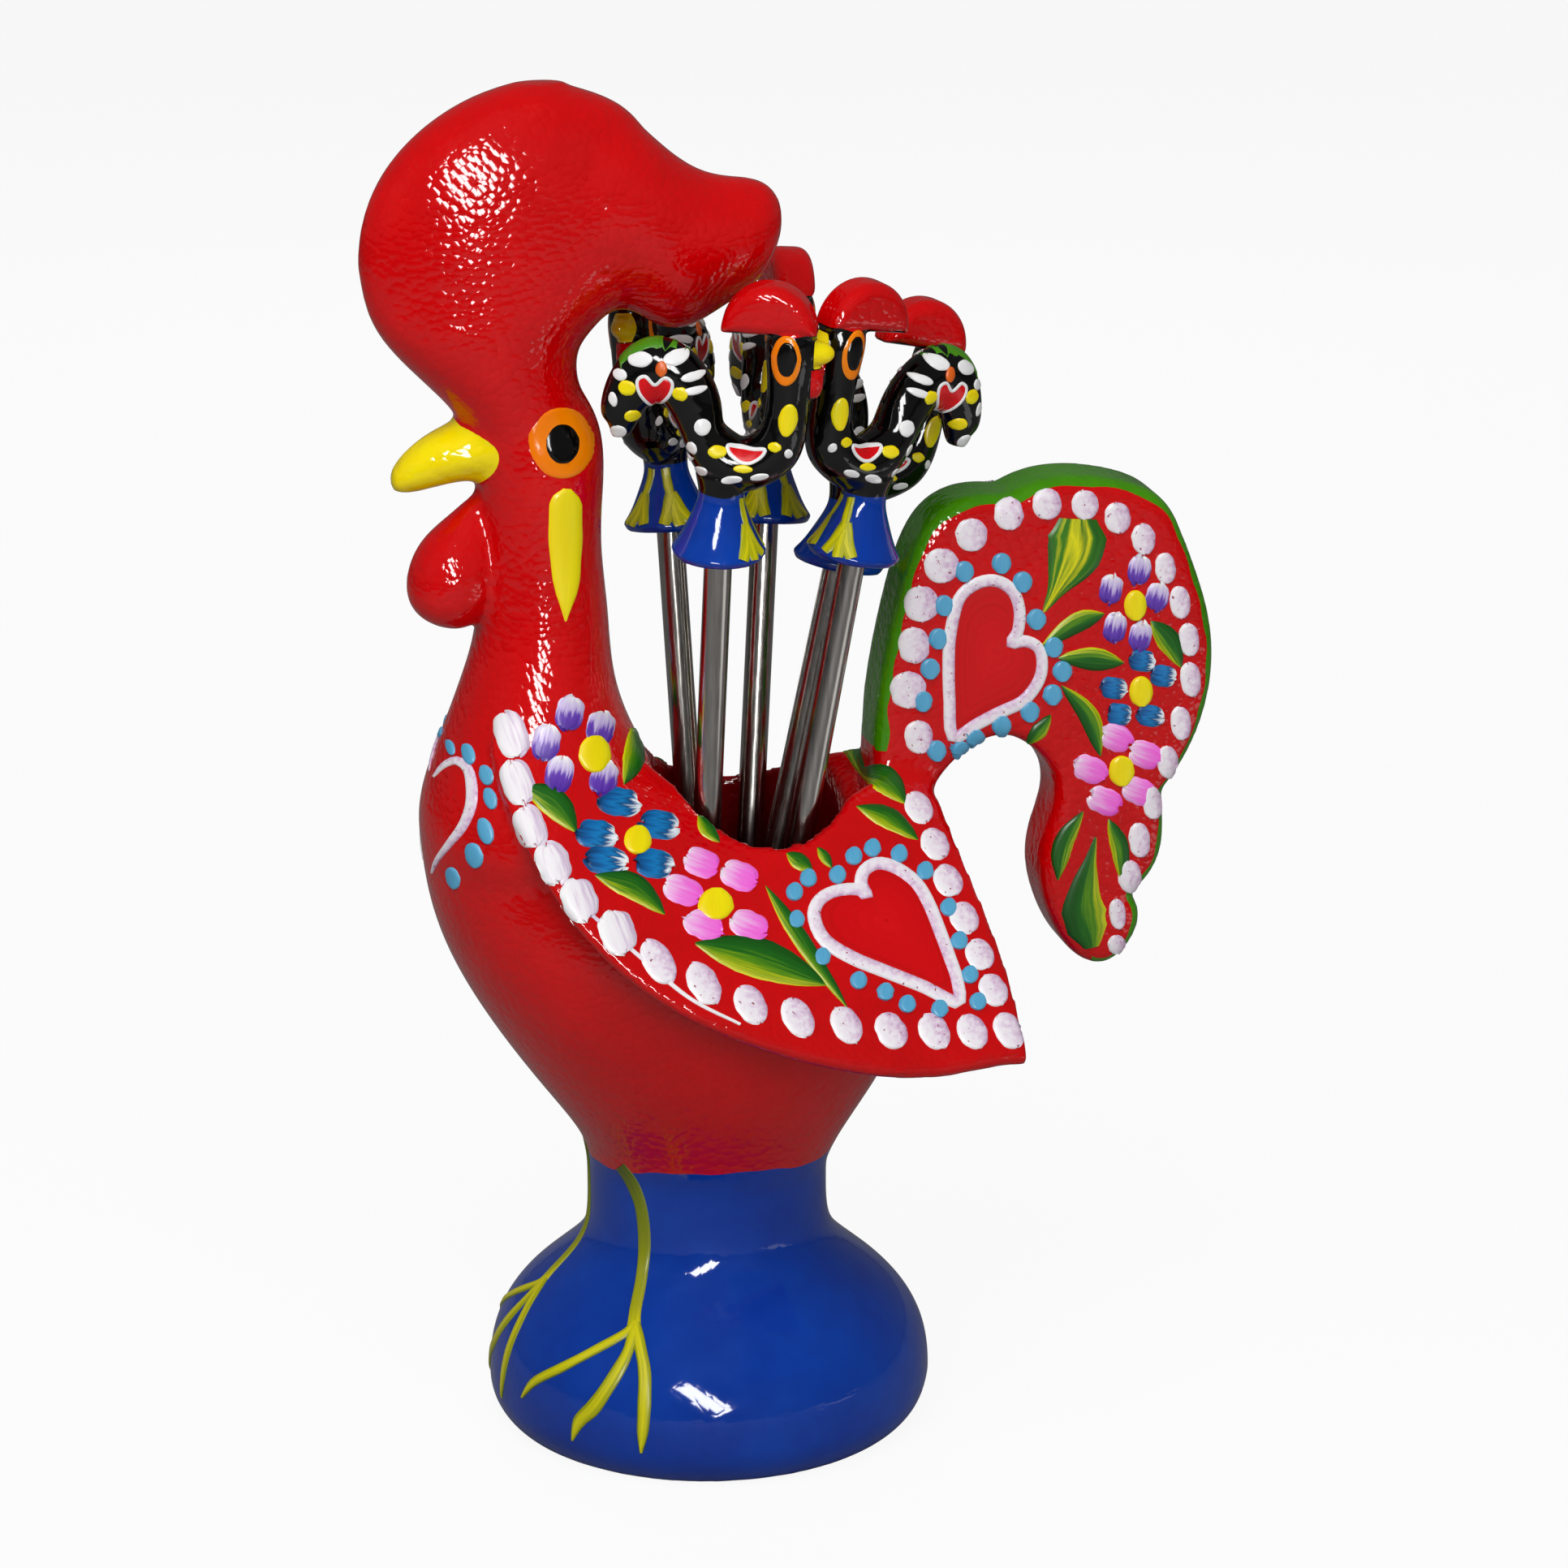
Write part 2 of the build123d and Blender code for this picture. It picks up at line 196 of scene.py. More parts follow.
spots = places(clay)
ease = np.clip((spots[:, 0] - tail_from_mm) / (tail_to_mm - tail_from_mm), 0, 1)
beside = np.clip((tail_thick_mm[1] - np.abs(spots[:, 1])) / np.diff(tail_thick_mm), 0, 1)
ease = ease ** 2 * (3 - 2 * ease) * beside
tail_move = pulled(spots, tail_pulls) + np.array((tail_shift_mm, 0))
spots[:, [0, 2]] += ease[:, None] * tail_move + pulled(spots, body_pulls)
clay.vertices.foreach_set("co", (spots * MM).ravel())
skin_spots, skin_faces = places(clay), [list(face.vertices) for face in clay.polygons]
print("pulls on the tail:", len(tail_pulls), "and on the rest:", len(body_pulls))

# %% [markdown]
# ## Paint borders
# Blue, red, green and yellow meet on the clay in brushed lines. A border painted by a texture would be as
# coarse as its pixels, so each border is cut into the skin itself: a value is worked out at every point of
# the skin, and the faces are split along the line where it is zero. Each side of the line can then be its
# own piece or finish.

# %% Cut the skin along a line
least_value = 1e-4


def cut_along(mesh, values):
    """Splits the faces of a mesh where the values at its points pass through zero. Returns the new values."""
    lump = bmesh.new()
    lump.from_mesh(mesh)
    layer = lump.verts.layers.float.new("border")
    for point, value in zip(lump.verts, values):
        point[layer] = value if abs(value) > least_value else least_value
    crossing = [e for e in lump.edges if e.verts[0][layer] * e.verts[1][layer] < 0]
    fresh = []
    for edge in crossing:
        start, end = edge.verts
        share = start[layer] / (start[layer] - end[layer])
        _, point = bmesh.utils.edge_split(edge, start, share)
        point[layer] = 0
        fresh.append(point)
    bmesh.ops.connect_verts(lump, verts=fresh)
    lump.to_mesh(mesh)
    lump.free()
    found = np.empty(len(mesh.vertices), np.float32)
    mesh.attributes["border"].data.foreach_get("value", found)
    mesh.attributes.remove(mesh.attributes["border"])
    return found


def face_side(mesh, values):
    """True for each face on the side where the values are below zero."""
    return np.array([values[list(face.vertices)].sum() < 0 for face in mesh.polygons])


def kept_faces(mesh, name, keep):
    """A copy of a mesh with only some of its faces."""
    lump = bmesh.new()
    lump.from_mesh(mesh)
    bmesh.ops.delete(lump, geom=[f for f, k in zip(lump.faces[:], keep) if not k], context="FACES")
    part = bpy.data.meshes.new(name)
    lump.to_mesh(part)
    lump.free()
    return part

# %% Foot, beak and green tail edge
foot_top_mm, foot_side_rise_mm = 30.3, 1.6
foot_waves = ((0.22, 3, 1), (0.12, 8, 0), (0.06, 19, 0))
beak_back_mm, beak_middle_mm, beak_half_mm, beak_reach_mm, beak_edge_mm = -18, 108.5, 6, 9.0, 0.3
tail_half_mm, rim_edge_mm, ripple_share, off_rim = 4.0, 0.22, 0.4, 5.0
tail_front_mm, tail_low_mm, tail_back_mm = 15.5, 74, 30
rim_ripples = ((0.12, 0.9, 0), (0.1, 1.3, 1))
tail_middle_mm = ((20, 62), (21, 78), (27, 91), (37, 95), (45, 88), (44, 72), (41, 60), (42, 46))
beak_tree = BVHTree.FromPolygons([v.co / MM for v in nodes["beak"].data.vertices],
                                 [p.vertices for p in nodes["beak"].data.polygons])


def foot_border(spots):
    """Below zero on the foot, under a wavy line that rises at the sides."""
    angle = np.arctan2(spots[:, 1], spots[:, 0])
    wave = sum(height * np.sin(count * angle + shift) for height, count, shift in foot_waves)
    return spots[:, 2] - foot_top_mm - foot_side_rise_mm * np.sin(angle) ** 2 - wave


def beak_border(spots):
    """Below zero close to the beak's CAD solid."""
    away = np.full(len(spots), beak_reach_mm)
    close = (spots[:, 0] < beak_back_mm) & (abs(spots[:, 2] - beak_middle_mm) < beak_half_mm)
    for i in np.flatnonzero(close):
        away[i] = beak_tree.find_nearest(Vector(spots[i]), beak_reach_mm)[3] or beak_reach_mm
    return away - beak_edge_mm


def tail_border(spots):
    """Below zero on the outer rim of the tail, between its two painted faces."""
    line = np.array(tail_middle_mm, float)
    value = np.full(len(spots), off_rim)
    on_arch = (spots[:, 0] > tail_front_mm) & (spots[:, 2] > tail_low_mm)
    chosen = np.flatnonzero(on_arch | (spots[:, 0] > tail_back_mm))
    flat = spots[chosen][:, [0, 2]]
    nearest, side = np.full(len(flat), np.inf), np.zeros(len(flat))
    for start, end in zip(line[:-1], line[1:]):
        way = end - start
        along = np.clip((flat - start) @ way / (way @ way), 0, 1)
        gap = flat - start - along[:, None] * way
        away = np.hypot(gap[:, 0], gap[:, 1])
        closer = away < nearest
        nearest[closer] = away[closer]
        side[closer] = (way[0] * gap[:, 1] - way[1] * gap[:, 0])[closer]
    ripple = sum(height * np.sin(flat[:, axis] * pace) for height, pace, axis in rim_ripples)
    rim = np.abs(spots[chosen][:, 1]) - tail_half_mm + rim_edge_mm + ripple_share * ripple
    value[chosen] = np.where(side > 0, rim, off_rim)
    return value


values = cut_along(clay, foot_border(places(clay)))
is_foot = face_side(clay, values)
blue_mesh, clay = kept_faces(clay, "foot_skin", is_foot), kept_faces(clay, "clay_skin", ~is_foot)
values = cut_along(clay, beak_border(places(clay)))
is_beak = face_side(clay, values)
yellow_mesh, clay = kept_faces(clay, "beak_skin", is_beak), kept_faces(clay, "clay_skin", ~is_beak)
values = cut_along(clay, tail_border(places(clay)))
is_green = face_side(clay, values)
print("faces: red", len(clay.polygons), "blue", len(blue_mesh.polygons), "yellow", len(yellow_mesh.polygons),
      "green edge", int(is_green.sum()))

# %% [markdown]
# ## Gloss enamel
# The base coat is a thick gloss enamel brushed over fired clay. It gives a saturated colour, a hard
# highlight, and an orange-peel ripple about a millimetre wide that breaks that highlight up. Brushing also
# leaves slow changes of depth in the colour. A Principled shader with the IOR of a resin, 1.55, carries all
# of it. The ripple is a pattern of small domes, because domes split a highlight into bright cells with thin
# dark lines between them.

# %% Colours and one node helper
def paint_colour(code):
    """An sRGB hex colour as the linear RGBA that shaders take."""
    parts = [int(code[i:i + 2], 16) / 255 for i in (0, 2, 4)]
    return [c / 12.92 if c <= 0.04045 else ((c + 0.055) / 1.055) ** 2.4 for c in parts] + [1]


def add_node(tree, kind, settings=(), **links):
    node = tree.nodes.new(kind)
    for key, value in dict(settings).items():
        setattr(node, key, value)
    for key, value in links.items():
        socket = node.inputs[int(key[1:]) if key[0] == "_" else key.replace("_", " ")]
        if isinstance(value, bpy.types.NodeSocket):
            tree.links.new(value, socket)
        else:
            socket.default_value = value
    return node


def new_finish(name):
    finish = bpy.data.materials.new(name)
    finish.use_nodes = True
    tree = finish.node_tree
    return finish, tree, tree.nodes["Principled BSDF"]


print("black is", paint_colour("000000"), "and white", paint_colour("FFFFFF"))

# %% The enamel
pool_mm, streak_mm, streak_share = 14, 2.5, 0.4
pool_from, pool_to = 0.45, 0.95
smooth_gloss, streaky_gloss, resin_ior = 0.03, 0.12, 1.55


def gloss_enamel(name, colour, deep, peel_mm=0.85, peel=0.07, shade_colour="000000"):
    """Brushed enamel with domes of a width and height in mm, and the colour of painted shade where a mesh
    carries cup shade.
    """
    finish, tree, shader = new_finish(name)
    where = add_node(tree, "ShaderNodeTexCoord").outputs["Object"]
    pool = add_node(tree, "ShaderNodeTexNoise", Vector=where, Scale=1 / (pool_mm * MM), Detail=3.0)
    streak = add_node(tree, "ShaderNodeTexNoise", Vector=where, Scale=1 / (streak_mm * MM), Detail=4.0)
    both = add_node(tree, "ShaderNodeMath", {"operation": "MULTIPLY_ADD"}, _0=streak.outputs["Fac"],
                    _1=streak_share, _2=pool.outputs["Fac"])
    share = add_node(tree, "ShaderNodeMapRange", Value=both.outputs[0], From_Min=pool_from, From_Max=pool_to)
    mixed = add_node(tree, "ShaderNodeMix", {"data_type": "RGBA"}, _0=share.outputs[0],
                     _6=paint_colour(deep), _7=paint_colour(colour))
    # Painted shade: a mesh's cup shade value turns the colour toward the shade colour.
    painted_shade = add_node(tree, "ShaderNodeAttribute", {"attribute_name": "fleck_and_cup_shade"}).outputs["Fac"]
    coat = add_node(tree, "ShaderNodeMix", {"data_type": "RGBA"}, _0=painted_shade, _6=mixed.outputs[2],
                    _7=paint_colour(shade_colour))
    tree.links.new(coat.outputs[2], shader.inputs["Base Color"])
    cells = add_node(tree, "ShaderNodeTexVoronoi", Vector=where, Scale=1 / (peel_mm * MM))
    domes = add_node(tree, "ShaderNodeMath", {"operation": "POWER"}, _0=cells.outputs["Distance"], _1=2.0)
    wave = add_node(tree, "ShaderNodeBump", {"invert": True}, Height=domes.outputs[0], Strength=1.0,
                    Distance=peel * MM)
    tree.links.new(wave.outputs["Normal"], shader.inputs["Normal"])
    haze = add_node(tree, "ShaderNodeMapRange", Value=streak.outputs["Fac"], To_Min=smooth_gloss,
                    To_Max=streaky_gloss)
    tree.links.new(haze.outputs[0], shader.inputs["Roughness"])
    shader.inputs["IOR"].default_value = resin_ior
    return finish


# The shade colour 3C0408 is painted shade, used inside the cup.
red_enamel = gloss_enamel("red_gloss_enamel", "DC0004", "CA0004", shade_colour="3C0408")
blue_enamel = gloss_enamel("blue_gloss_enamel", "0040AC", "003298", 1.2, 0.02)
yellow_enamel = gloss_enamel("yellow_gloss_enamel", "FFF000", "FFDC00", 1.6, 0.12)
green_enamel = gloss_enamel("green_gloss_enamel", "4A9A04", "3A8400")
print("enamels:", [m.name for m in bpy.data.materials if "enamel" in m.name and m.use_nodes])

# %% [markdown]
# Shade inside the cup is painted into the red enamel as a dark maroon, part strength at the lip and full
# deeper down. A value at every point of the skin, zero outside and growing from the lip down, tells the
# enamel where to paint that shade. A mask cut along the faces would leave a jagged lip.

# %% Dress the clay
def clay_piece(name, mesh, slot, finishes, *stands_for):
    """A piece of the holder with its finishes, in place of some CAD nodes."""
    for finish in finishes:
        mesh.materials.append(finish)
    mesh.polygons.foreach_set("use_smooth", np.ones(len(mesh.polygons), bool))
    piece = new_piece(name, mesh)
    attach(piece, "holder")
    if stands_for:
        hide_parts(*stands_for)
    return piece


# The cup is an oval that widens upward. Both levels have a height, a middle along x, a half length and a
# half width, in mm.
cup_low, cup_high = (42.6, 2.5, 10.5, 11.5), (90, 5.4, 11.8, 13.2)
cup_lip_share, cup_lip_shade, cup_dark_mm, cup_zone_mm = 0.06, 0.5, (80, 55), (33, 88)
spots = places(clay)
rise = np.clip((spots[:, 2] - cup_low[0]) / (cup_high[0] - cup_low[0]), 0, 1)
shift, half_x, half_y = (low + rise * (high - low) for low, high in zip(cup_low[1:], cup_high[1:]))
reach = np.hypot((spots[:, 0] - shift) / half_x, spots[:, 1] / half_y)
# Painted shade in the cup: half strength down to 80 mm, growing to full shade at 55 mm, none outside 33 to 88
# mm.
depth = np.clip((cup_dark_mm[0] - spots[:, 2]) / (cup_dark_mm[0] - cup_dark_mm[1]), 0, 1)
within = np.clip((1 + cup_lip_share - reach) / cup_lip_share, 0, 1)
fleck_and_cup_shade = within * (cup_lip_shade + (1 - cup_lip_shade) * depth)
fleck_and_cup_shade[(spots[:, 2] < cup_zone_mm[0]) | (spots[:, 2] > cup_zone_mm[1])] = 0
clay.attributes.new("fleck_and_cup_shade", "FLOAT", "POINT").data.foreach_set("value", fleck_and_cup_shade.astype(np.float32))
clay_skin = clay_piece("clay_skin", clay, "red_enamel", [red_enamel, green_enamel], "body", "neck_head",
                       "comb", "wattle", "tail", "left_wing", "right_wing")
clay.polygons.foreach_set("material_index", is_green.astype(np.int32))
foot_skin = clay_piece("foot_skin", blue_mesh, "blue_enamel", [blue_enamel], "foot")
beak_skin = clay_piece("beak_skin", yellow_mesh, "yellow_enamel", [yellow_enamel], "beak")
print("dressed:", clay_skin.name, foot_skin.name, beak_skin.name)

# %% [markdown]
# ## A brush
# Dots, petals, leaves and outlines are one and the same act: a loaded brush is put down, drawn along and
# lifted. So one tool makes them all. It takes a line of photograph pixels with a half width at each,
# spreads eleven points across it, drops every point on the skin along its ray and raises the middle a fifth
# of a millimetre, the thickness of enamel laid on by hand. A stroke projected as a picture would have no
# edge that catches the light. Each point also keeps its place in the stroke, so that the finish can draw
# brush hairs. A little noise, always the same for the same place, keeps two dabs from looking alike.

# %% Strokes, dabs and fills
across = np.array([-1, -0.94, -0.8, -0.55, -0.28, 0, 0.28, 0.55, 0.8, 0.94, 1])
sunk_mm, edge_power, full_from = 0.05, 6, 0.35
stroke_shake, dab_shake = (0.10, 5, 0), (0.09, 2.3, 3)
hair_step, hair_start = 0.73, 0.4
dab_rows, fill_rows, fill_columns, least_share = 18, 48, 9, 0.02
petal_thick, petal_square, petal_ragged, heart_thick = 0.2, 3.2, 0.3, 0.32
least_slope, seed_step = 0.15, 0.37
petal_way = {"purple_petal": (0.2, -1), "blue_petal": (1, 0.15), "pink_petal": (-1, -0.4)}


def flowing(points, count, closed=False):
    """Places at even steps along a smooth line through some points."""
    points = np.array(points, float)
    if closed:
        ends = np.vstack([points[-1:], points, points[:2]])
    else:
        ends = np.vstack([2 * points[:1] - points[1:2], points, 2 * points[-1:] - points[-2:-1]])
    at = np.linspace(0, len(ends) - 3, count, endpoint=not closed)
    first = np.minimum(at.astype(int), len(ends) - 4)
    t = (at - first)[:, None]
    a, b, c, d = (ends[first + k] for k in range(4))
    return b + t / 2 * (c - a + t * (2 * a - 5 * b + 4 * c - d + t * (3 * (b - c) + d - a)))


def shaken(place, share, shake):
    """Factors near 1 along a stroke, from noise of a strength, a pace and a start."""
    strength, pace, start = shake
    return [1 + strength * noise.noise(Vector((place[0], place[1], pace * s + start))) for s in share]


class Coat:
    """Raised paint on one skin, gathered stroke by stroke."""

    def __init__(self, tree, ray, depth, slack):
        self.tree, self.ray, self.depth, self.slack = tree, ray, depth, slack
        self.spots, self.facing, self.rise, self.brush, self.faces, self.paints = [], [], [], [], [], []

    def land(self, pixel, near=None):
        """Where a pixel's ray meets the skin. Past an edge it slides to the skin closest to its neighbour."""
        origin, way = self.ray(pixel)
        spot, normal = self.tree.ray_cast(origin, way)[:2]
        flat = origin + way * self.depth
        if near is not None:
            run = (near[0] - origin).dot(near[1]) / min(way.dot(near[1]), -least_slope)
            step = origin - near[0] + way * run
            flat = near[0] + step * min(1, 2 * self.slack / max(step.length, 1e-6))
        if spot is None or near is not None and (spot - flat).length > self.slack:
            spot, normal = self.tree.find_nearest(flat)[:2]
        return spot, normal

    def sheet(self, paint, pixels, rise, near, closed=False):
        """Lands a grid of pixels row by row, from the middle to both ends, and joins it with faces."""
        rows, columns = pixels.shape[:2]
        start, seed = len(self.spots), len(self.paints) * seed_step % 1
        found = {}
        for order in (range(rows // 2, rows), range(rows // 2, -1, -1)):
            beside = near
            for i in order:
                beside = self.land(pixels[i, columns // 2], beside)
                found[i] = [self.land(pixel, beside) for pixel in pixels[i]]
        for i in range(rows):
            for j, (spot, normal) in enumerate(found[i]):
                self.spots.append(spot)
                self.facing.append(normal)
                self.rise.append(rise[i, j])
                self.brush.append((j / (columns - 1), i / (rows - 1), seed))
        for i in range(rows - (not closed)):
            for j in range(columns - 1):
                a, b = start + i * columns + j, start + (i + 1) % rows * columns + j
                self.faces.append((a, b, b + 1, a + 1))
                self.paints.append(paint)

    def ribbon(self, paint, line, half, thick, closed=False, ragged=0):
        """A band along a line with a half width at each step. Its ends tear by up to ragged pixels."""
        way = np.roll(line, -1, 0) - np.roll(line, 1, 0) if closed else np.gradient(line, axis=0)
        way = way / np.linalg.norm(way, axis=1)[:, None]
        side = np.stack([way[:, 1], -way[:, 0]], 1)
        pixels = line[:, None] + side[:, None] * half[:, None, None] * across[None, :, None]
        hairs = hair_step * np.arange(len(across)) + hair_start
        torn = [ragged * noise.noise(Vector((*line[0], hair))) for hair in hairs]
        to_ends = np.linspace(-1, 1, len(line)) ** 3
        pixels += way[:, None] * to_ends[:, None, None] * np.array(torn)[None, :, None]
        full = np.clip(half / (full_from * half.max()), 0, 1)[:, None]
        rise = (thick + sunk_mm) * full * (1 - np.abs(across) ** edge_power)[None, :] - sunk_mm
        self.sheet(paint, pixels, rise, self.land(line[len(line) // 2]), closed)

    def stroke(self, paint, path, half_widths, thick=0.2, steps=16, closed=False):
        """The brush drawn along a path, with half widths spread evenly over it."""
        share = np.linspace(0, 1, steps)
        half = np.interp(share, np.linspace(0, 1, len(half_widths)), half_widths)
        half = half * shaken(path[0], share, stroke_shake)
        self.ribbon(paint, flowing(path, steps, closed), half, thick, closed)

    def dab(self, paint, centre, size, way=(0, 1), thick=0.24, square=2, ragged=0):
        """A touch of the brush. Size is (width, length), way runs along it, square over 2 fills corners."""
        share = -np.cos(np.linspace(0, math.pi, dab_rows))
        way = np.array(way, float) / np.hypot(*way)
        line = np.array(centre) + share[:, None] * way * size[1] / 2
        half = np.maximum((1 - np.abs(share) ** square).clip(0) ** (1 / square), least_share) * size[0] / 2
        self.ribbon(paint, line, half * shaken(centre, share, dab_shake), thick, ragged=ragged * size[1])

    def fill(self, paint, outline, thick=0.07):
        """A thin flat coat inside an outline."""
        ring = flowing(outline, fill_rows, True)
        middle = ring.mean(0)
        share = np.linspace(least_share, 1, fill_columns)
        pixels = middle + (ring - middle)[:, None] * share[None, :, None]
        rise = np.broadcast_to(np.where(share < 1, thick, -sunk_mm), pixels.shape[:2])
        self.sheet(paint, pixels, rise, self.land(middle), True)

    def flower(self, paint, centre, petals, petal_size, heart_size):
        """Five petals, all drawn the same way, round a thick yellow heart."""
        for petal in petals:
            self.dab(paint, petal, petal_size, petal_way[paint], petal_thick, petal_square, petal_ragged)
        self.dab("yellow_dab", centre, heart_size, thick=heart_thick)

    def mesh(self, name, sides=(1, -1)):
        """All strokes as one mesh, on both sides of the rooster unless told otherwise."""
        points, faces, brush = [], [], self.brush * len(sides)
        for side in sides:
            start, mirror = len(points), Vector((1, side, 1))
            for spot, normal, rise in zip(self.spots, self.facing, self.rise):
                if side < 0:
                    spot, normal = self.tree.find_nearest(spot * mirror)[:2]
                points.append((spot + normal * rise) * MM)
            for face in self.faces:
                a, b, c, d = (start + i for i in face)
                across_face = (points[c] - points[a]).cross(points[d] - points[b])
                outward = across_face.dot(self.facing[face[0]] * mirror)
                faces.append((a, b, c, d) if outward > 0 else (d, c, b, a))
        made = bpy.data.meshes.new(name)
        made.from_pydata(points, [], faces)
        made.attributes.new("brush", "FLOAT_VECTOR", "POINT").data.foreach_set("vector", np.ravel(brush))
        used = list(dict.fromkeys(self.paints))
        for paint in used:
            made.materials.append(paints[paint])
        index = [used.index(paint) for paint in self.paints] * len(sides)
        made.polygons.foreach_set("material_index", index)
        made.polygons.foreach_set("use_smooth", np.ones(len(faces), bool))
        return made


skin_tree = BVHTree.FromPolygons([Vector(s) for s in skin_spots.tolist()], skin_faces)


def photo_ray_mm(pixel):
    origin, way = photo_ray(pixel)
    return origin / MM, way


print("skin ready for the brush:", len(skin_faces), "faces")

# %% [markdown]
# ## Decorators' paints
# The decoration is opaque paint that dries to a softer gloss than the base coat. A flat brush loaded with
# two colours leaves both side by side, so a leaf runs from yellow to dark green across its width and a
# petal from its colour to white along its length. Noise stretched along the stroke pulls the colours into
# brush hairs. Real hairs are a tenth of a millimetre apart, too fine to show, so about thirteen are drawn
# across a stroke. The white dots were pressed on instead of drawn: they are mottled, with flecks of the red
# below.

# %% A paint
hair_counts = (13, 1.4, 40)
fleck_mm, fleck_from, fleck_to = 0.45, 0.68, 0.72
ridge_mm, ridge_strength = 0.15, 0.25


def hand_paint(name, stops, along=False, hairs=0.5, gloss=0.3, mottle_mm=None, fleck=None):
    """Paint whose colours run across or along the stroke, parted by hairs or mottled at a size in mm."""
    finish, tree, shader = new_finish(name)
    brush = add_node(tree, "ShaderNodeAttribute", {"attribute_name": "brush"}).outputs["Vector"]
    place = add_node(tree, "ShaderNodeSeparateXYZ", Vector=brush)
    where = add_node(tree, "ShaderNodeTexCoord").outputs["Object"]
    drawn = add_node(tree, "ShaderNodeVectorMath", {"operation": "MULTIPLY"}, _0=brush, _1=hair_counts)
    if mottle_mm:
        drawn = add_node(tree, "ShaderNodeVectorMath", {"operation": "SCALE"}, _0=where,
                         Scale=1 / (mottle_mm * MM))
    hair = add_node(tree, "ShaderNodeTexNoise", Vector=drawn.outputs[0], Scale=1.0, Detail=3.0)
    centred = add_node(tree, "ShaderNodeMath", {"operation": "MULTIPLY_ADD"}, _0=hair.outputs["Fac"],
                       _1=2 * hairs, _2=-hairs)
    tone = add_node(tree, "ShaderNodeMath", _0=centred.outputs[0], _1=place.outputs["Y" if along else "X"])
    ramp = add_node(tree, "ShaderNodeValToRGB", _0=tone.outputs[0])
    marks = ramp.color_ramp.elements
    for at, colour in stops:
        mark = marks[0] if at == 0 else marks[-1] if at == 1 else marks.new(at)
        mark.color = paint_colour(colour)
    colour = ramp.outputs["Color"]
    if fleck:
        dust = add_node(tree, "ShaderNodeTexNoise", Vector=where, Scale=1 / (fleck_mm * MM), Detail=2.0)
        fleck_and_cup_shade = add_node(tree, "ShaderNodeMapRange", Value=dust.outputs["Fac"], From_Min=fleck_from,
                        From_Max=fleck_to)
        mixed = add_node(tree, "ShaderNodeMix", {"data_type": "RGBA"}, _0=fleck_and_cup_shade.outputs[0], _6=colour,
                         _7=paint_colour(fleck))
        colour = mixed.outputs[2]
    tree.links.new(colour, shader.inputs["Base Color"])
    ridges = add_node(tree, "ShaderNodeBump", Height=hair.outputs["Fac"], Strength=ridge_strength,
                      Distance=ridge_mm * MM)
    tree.links.new(ridges.outputs["Normal"], shader.inputs["Normal"])
    shader.inputs["Roughness"].default_value = gloss
    return finish


print("hairs across a stroke:", hair_counts[0])

# %% The paints on the table
recipes = {
    "white_dab": dict(stops=((0, "FFFFFF"), (0.45, "FAF0FA"), (0.8, "E4C6E2"), (1, "CCA0C8")),
                      hairs=0.55, gloss=0.35, mottle_mm=0.55, fleck="A04060"),
    "white_brush": dict(stops=((0, "FFFFFF"), (0.5, "FAF4FA"), (0.8, "E2D0E6"), (1, "CCB0D0")), hairs=0.7),
    "white_stroke": dict(stops=((0, "E2D4EC"), (0.4, "FDF8FD"), (1, "FFFFFF")), along=True),
    "light_blue": dict(stops=((0, "4FA6D2"), (1, "66B8E0")), hairs=0.4),
    "leaf": dict(stops=((0, "E0E000"), (0.2, "B4C000"), (0.36, "569008"), (0.54, "186610"), (1, "064009")),
                 hairs=0.36),
    "fan_leaf": dict(stops=((0, "0B4A0C"), (0.3, "2E7A0A"), (0.5, "F0E800"), (0.72, "3C8408"), (1, "0B4A0C")),
                     hairs=0.34),
    "purple_petal": dict(stops=((0, "48209A"), (0.45, "6C40BC"), (0.6, "D0BCEE"), (1, "FFFFFF")),
                         along=True, hairs=0.4),
    "blue_petal": dict(stops=((0, "032C56"), (0.3, "0A62A8"), (0.52, "1080C4"), (0.7, "0A4C84"),
                              (0.84, "E8F2FC"), (1, "FFFFFF")), along=True, hairs=0.4),
    "pink_petal": dict(stops=((0, "FF58E0"), (0.45, "FF80E8"), (0.75, "FFC0F4"), (1, "FFF0FC")),
                       along=True, hairs=0.45),
    "yellow_dab": dict(stops=((0, "FFE000"), (1, "FFF200")), hairs=0.4, gloss=0.25),
    "orange_ring": dict(stops=((0, "FF7C00"), (1, "FF9000")), hairs=0.3, gloss=0.1),
    "black_dab": dict(stops=((0, "020202"), (1, "060606")), hairs=0.3, gloss=0.12),
    "heart_red": dict(stops=((0, "E0040C"), (0.6, "D80008"), (1, "CC0004")), hairs=0.5, gloss=0.2),
    "claw": dict(stops=((0, "5A7000"), (0.25, "AEB000"), (0.5, "E4DC00"), (0.75, "AEB000"), (1, "4C6600")),
                 hairs=0.35),
    "shin": dict(stops=((0, "4E5E08"), (0.45, "848E0A"), (0.8, "A8AA08"), (1, "D0CA00")),
                 along=True, hairs=0.25),
    "pure_white": dict(stops=((0, "F6F6F6"), (1, "FFFFFF")), along=True, hairs=0.4, gloss=0.2),
    "red_dab": dict(stops=((0, "D80008"), (1, "E80010")), hairs=0.3, gloss=0.2),
    "orange_dab": dict(stops=((0, "E05A10"), (1, "F07020")), hairs=0.3, gloss=0.25),
    "green_dab": dict(stops=((0, "3C7A10"), (1, "4F9414")), hairs=0.3, gloss=0.25),
}
paints = {name: hand_paint(name, **recipe) for name, recipe in recipes.items()}
print("paints:", len(paints))

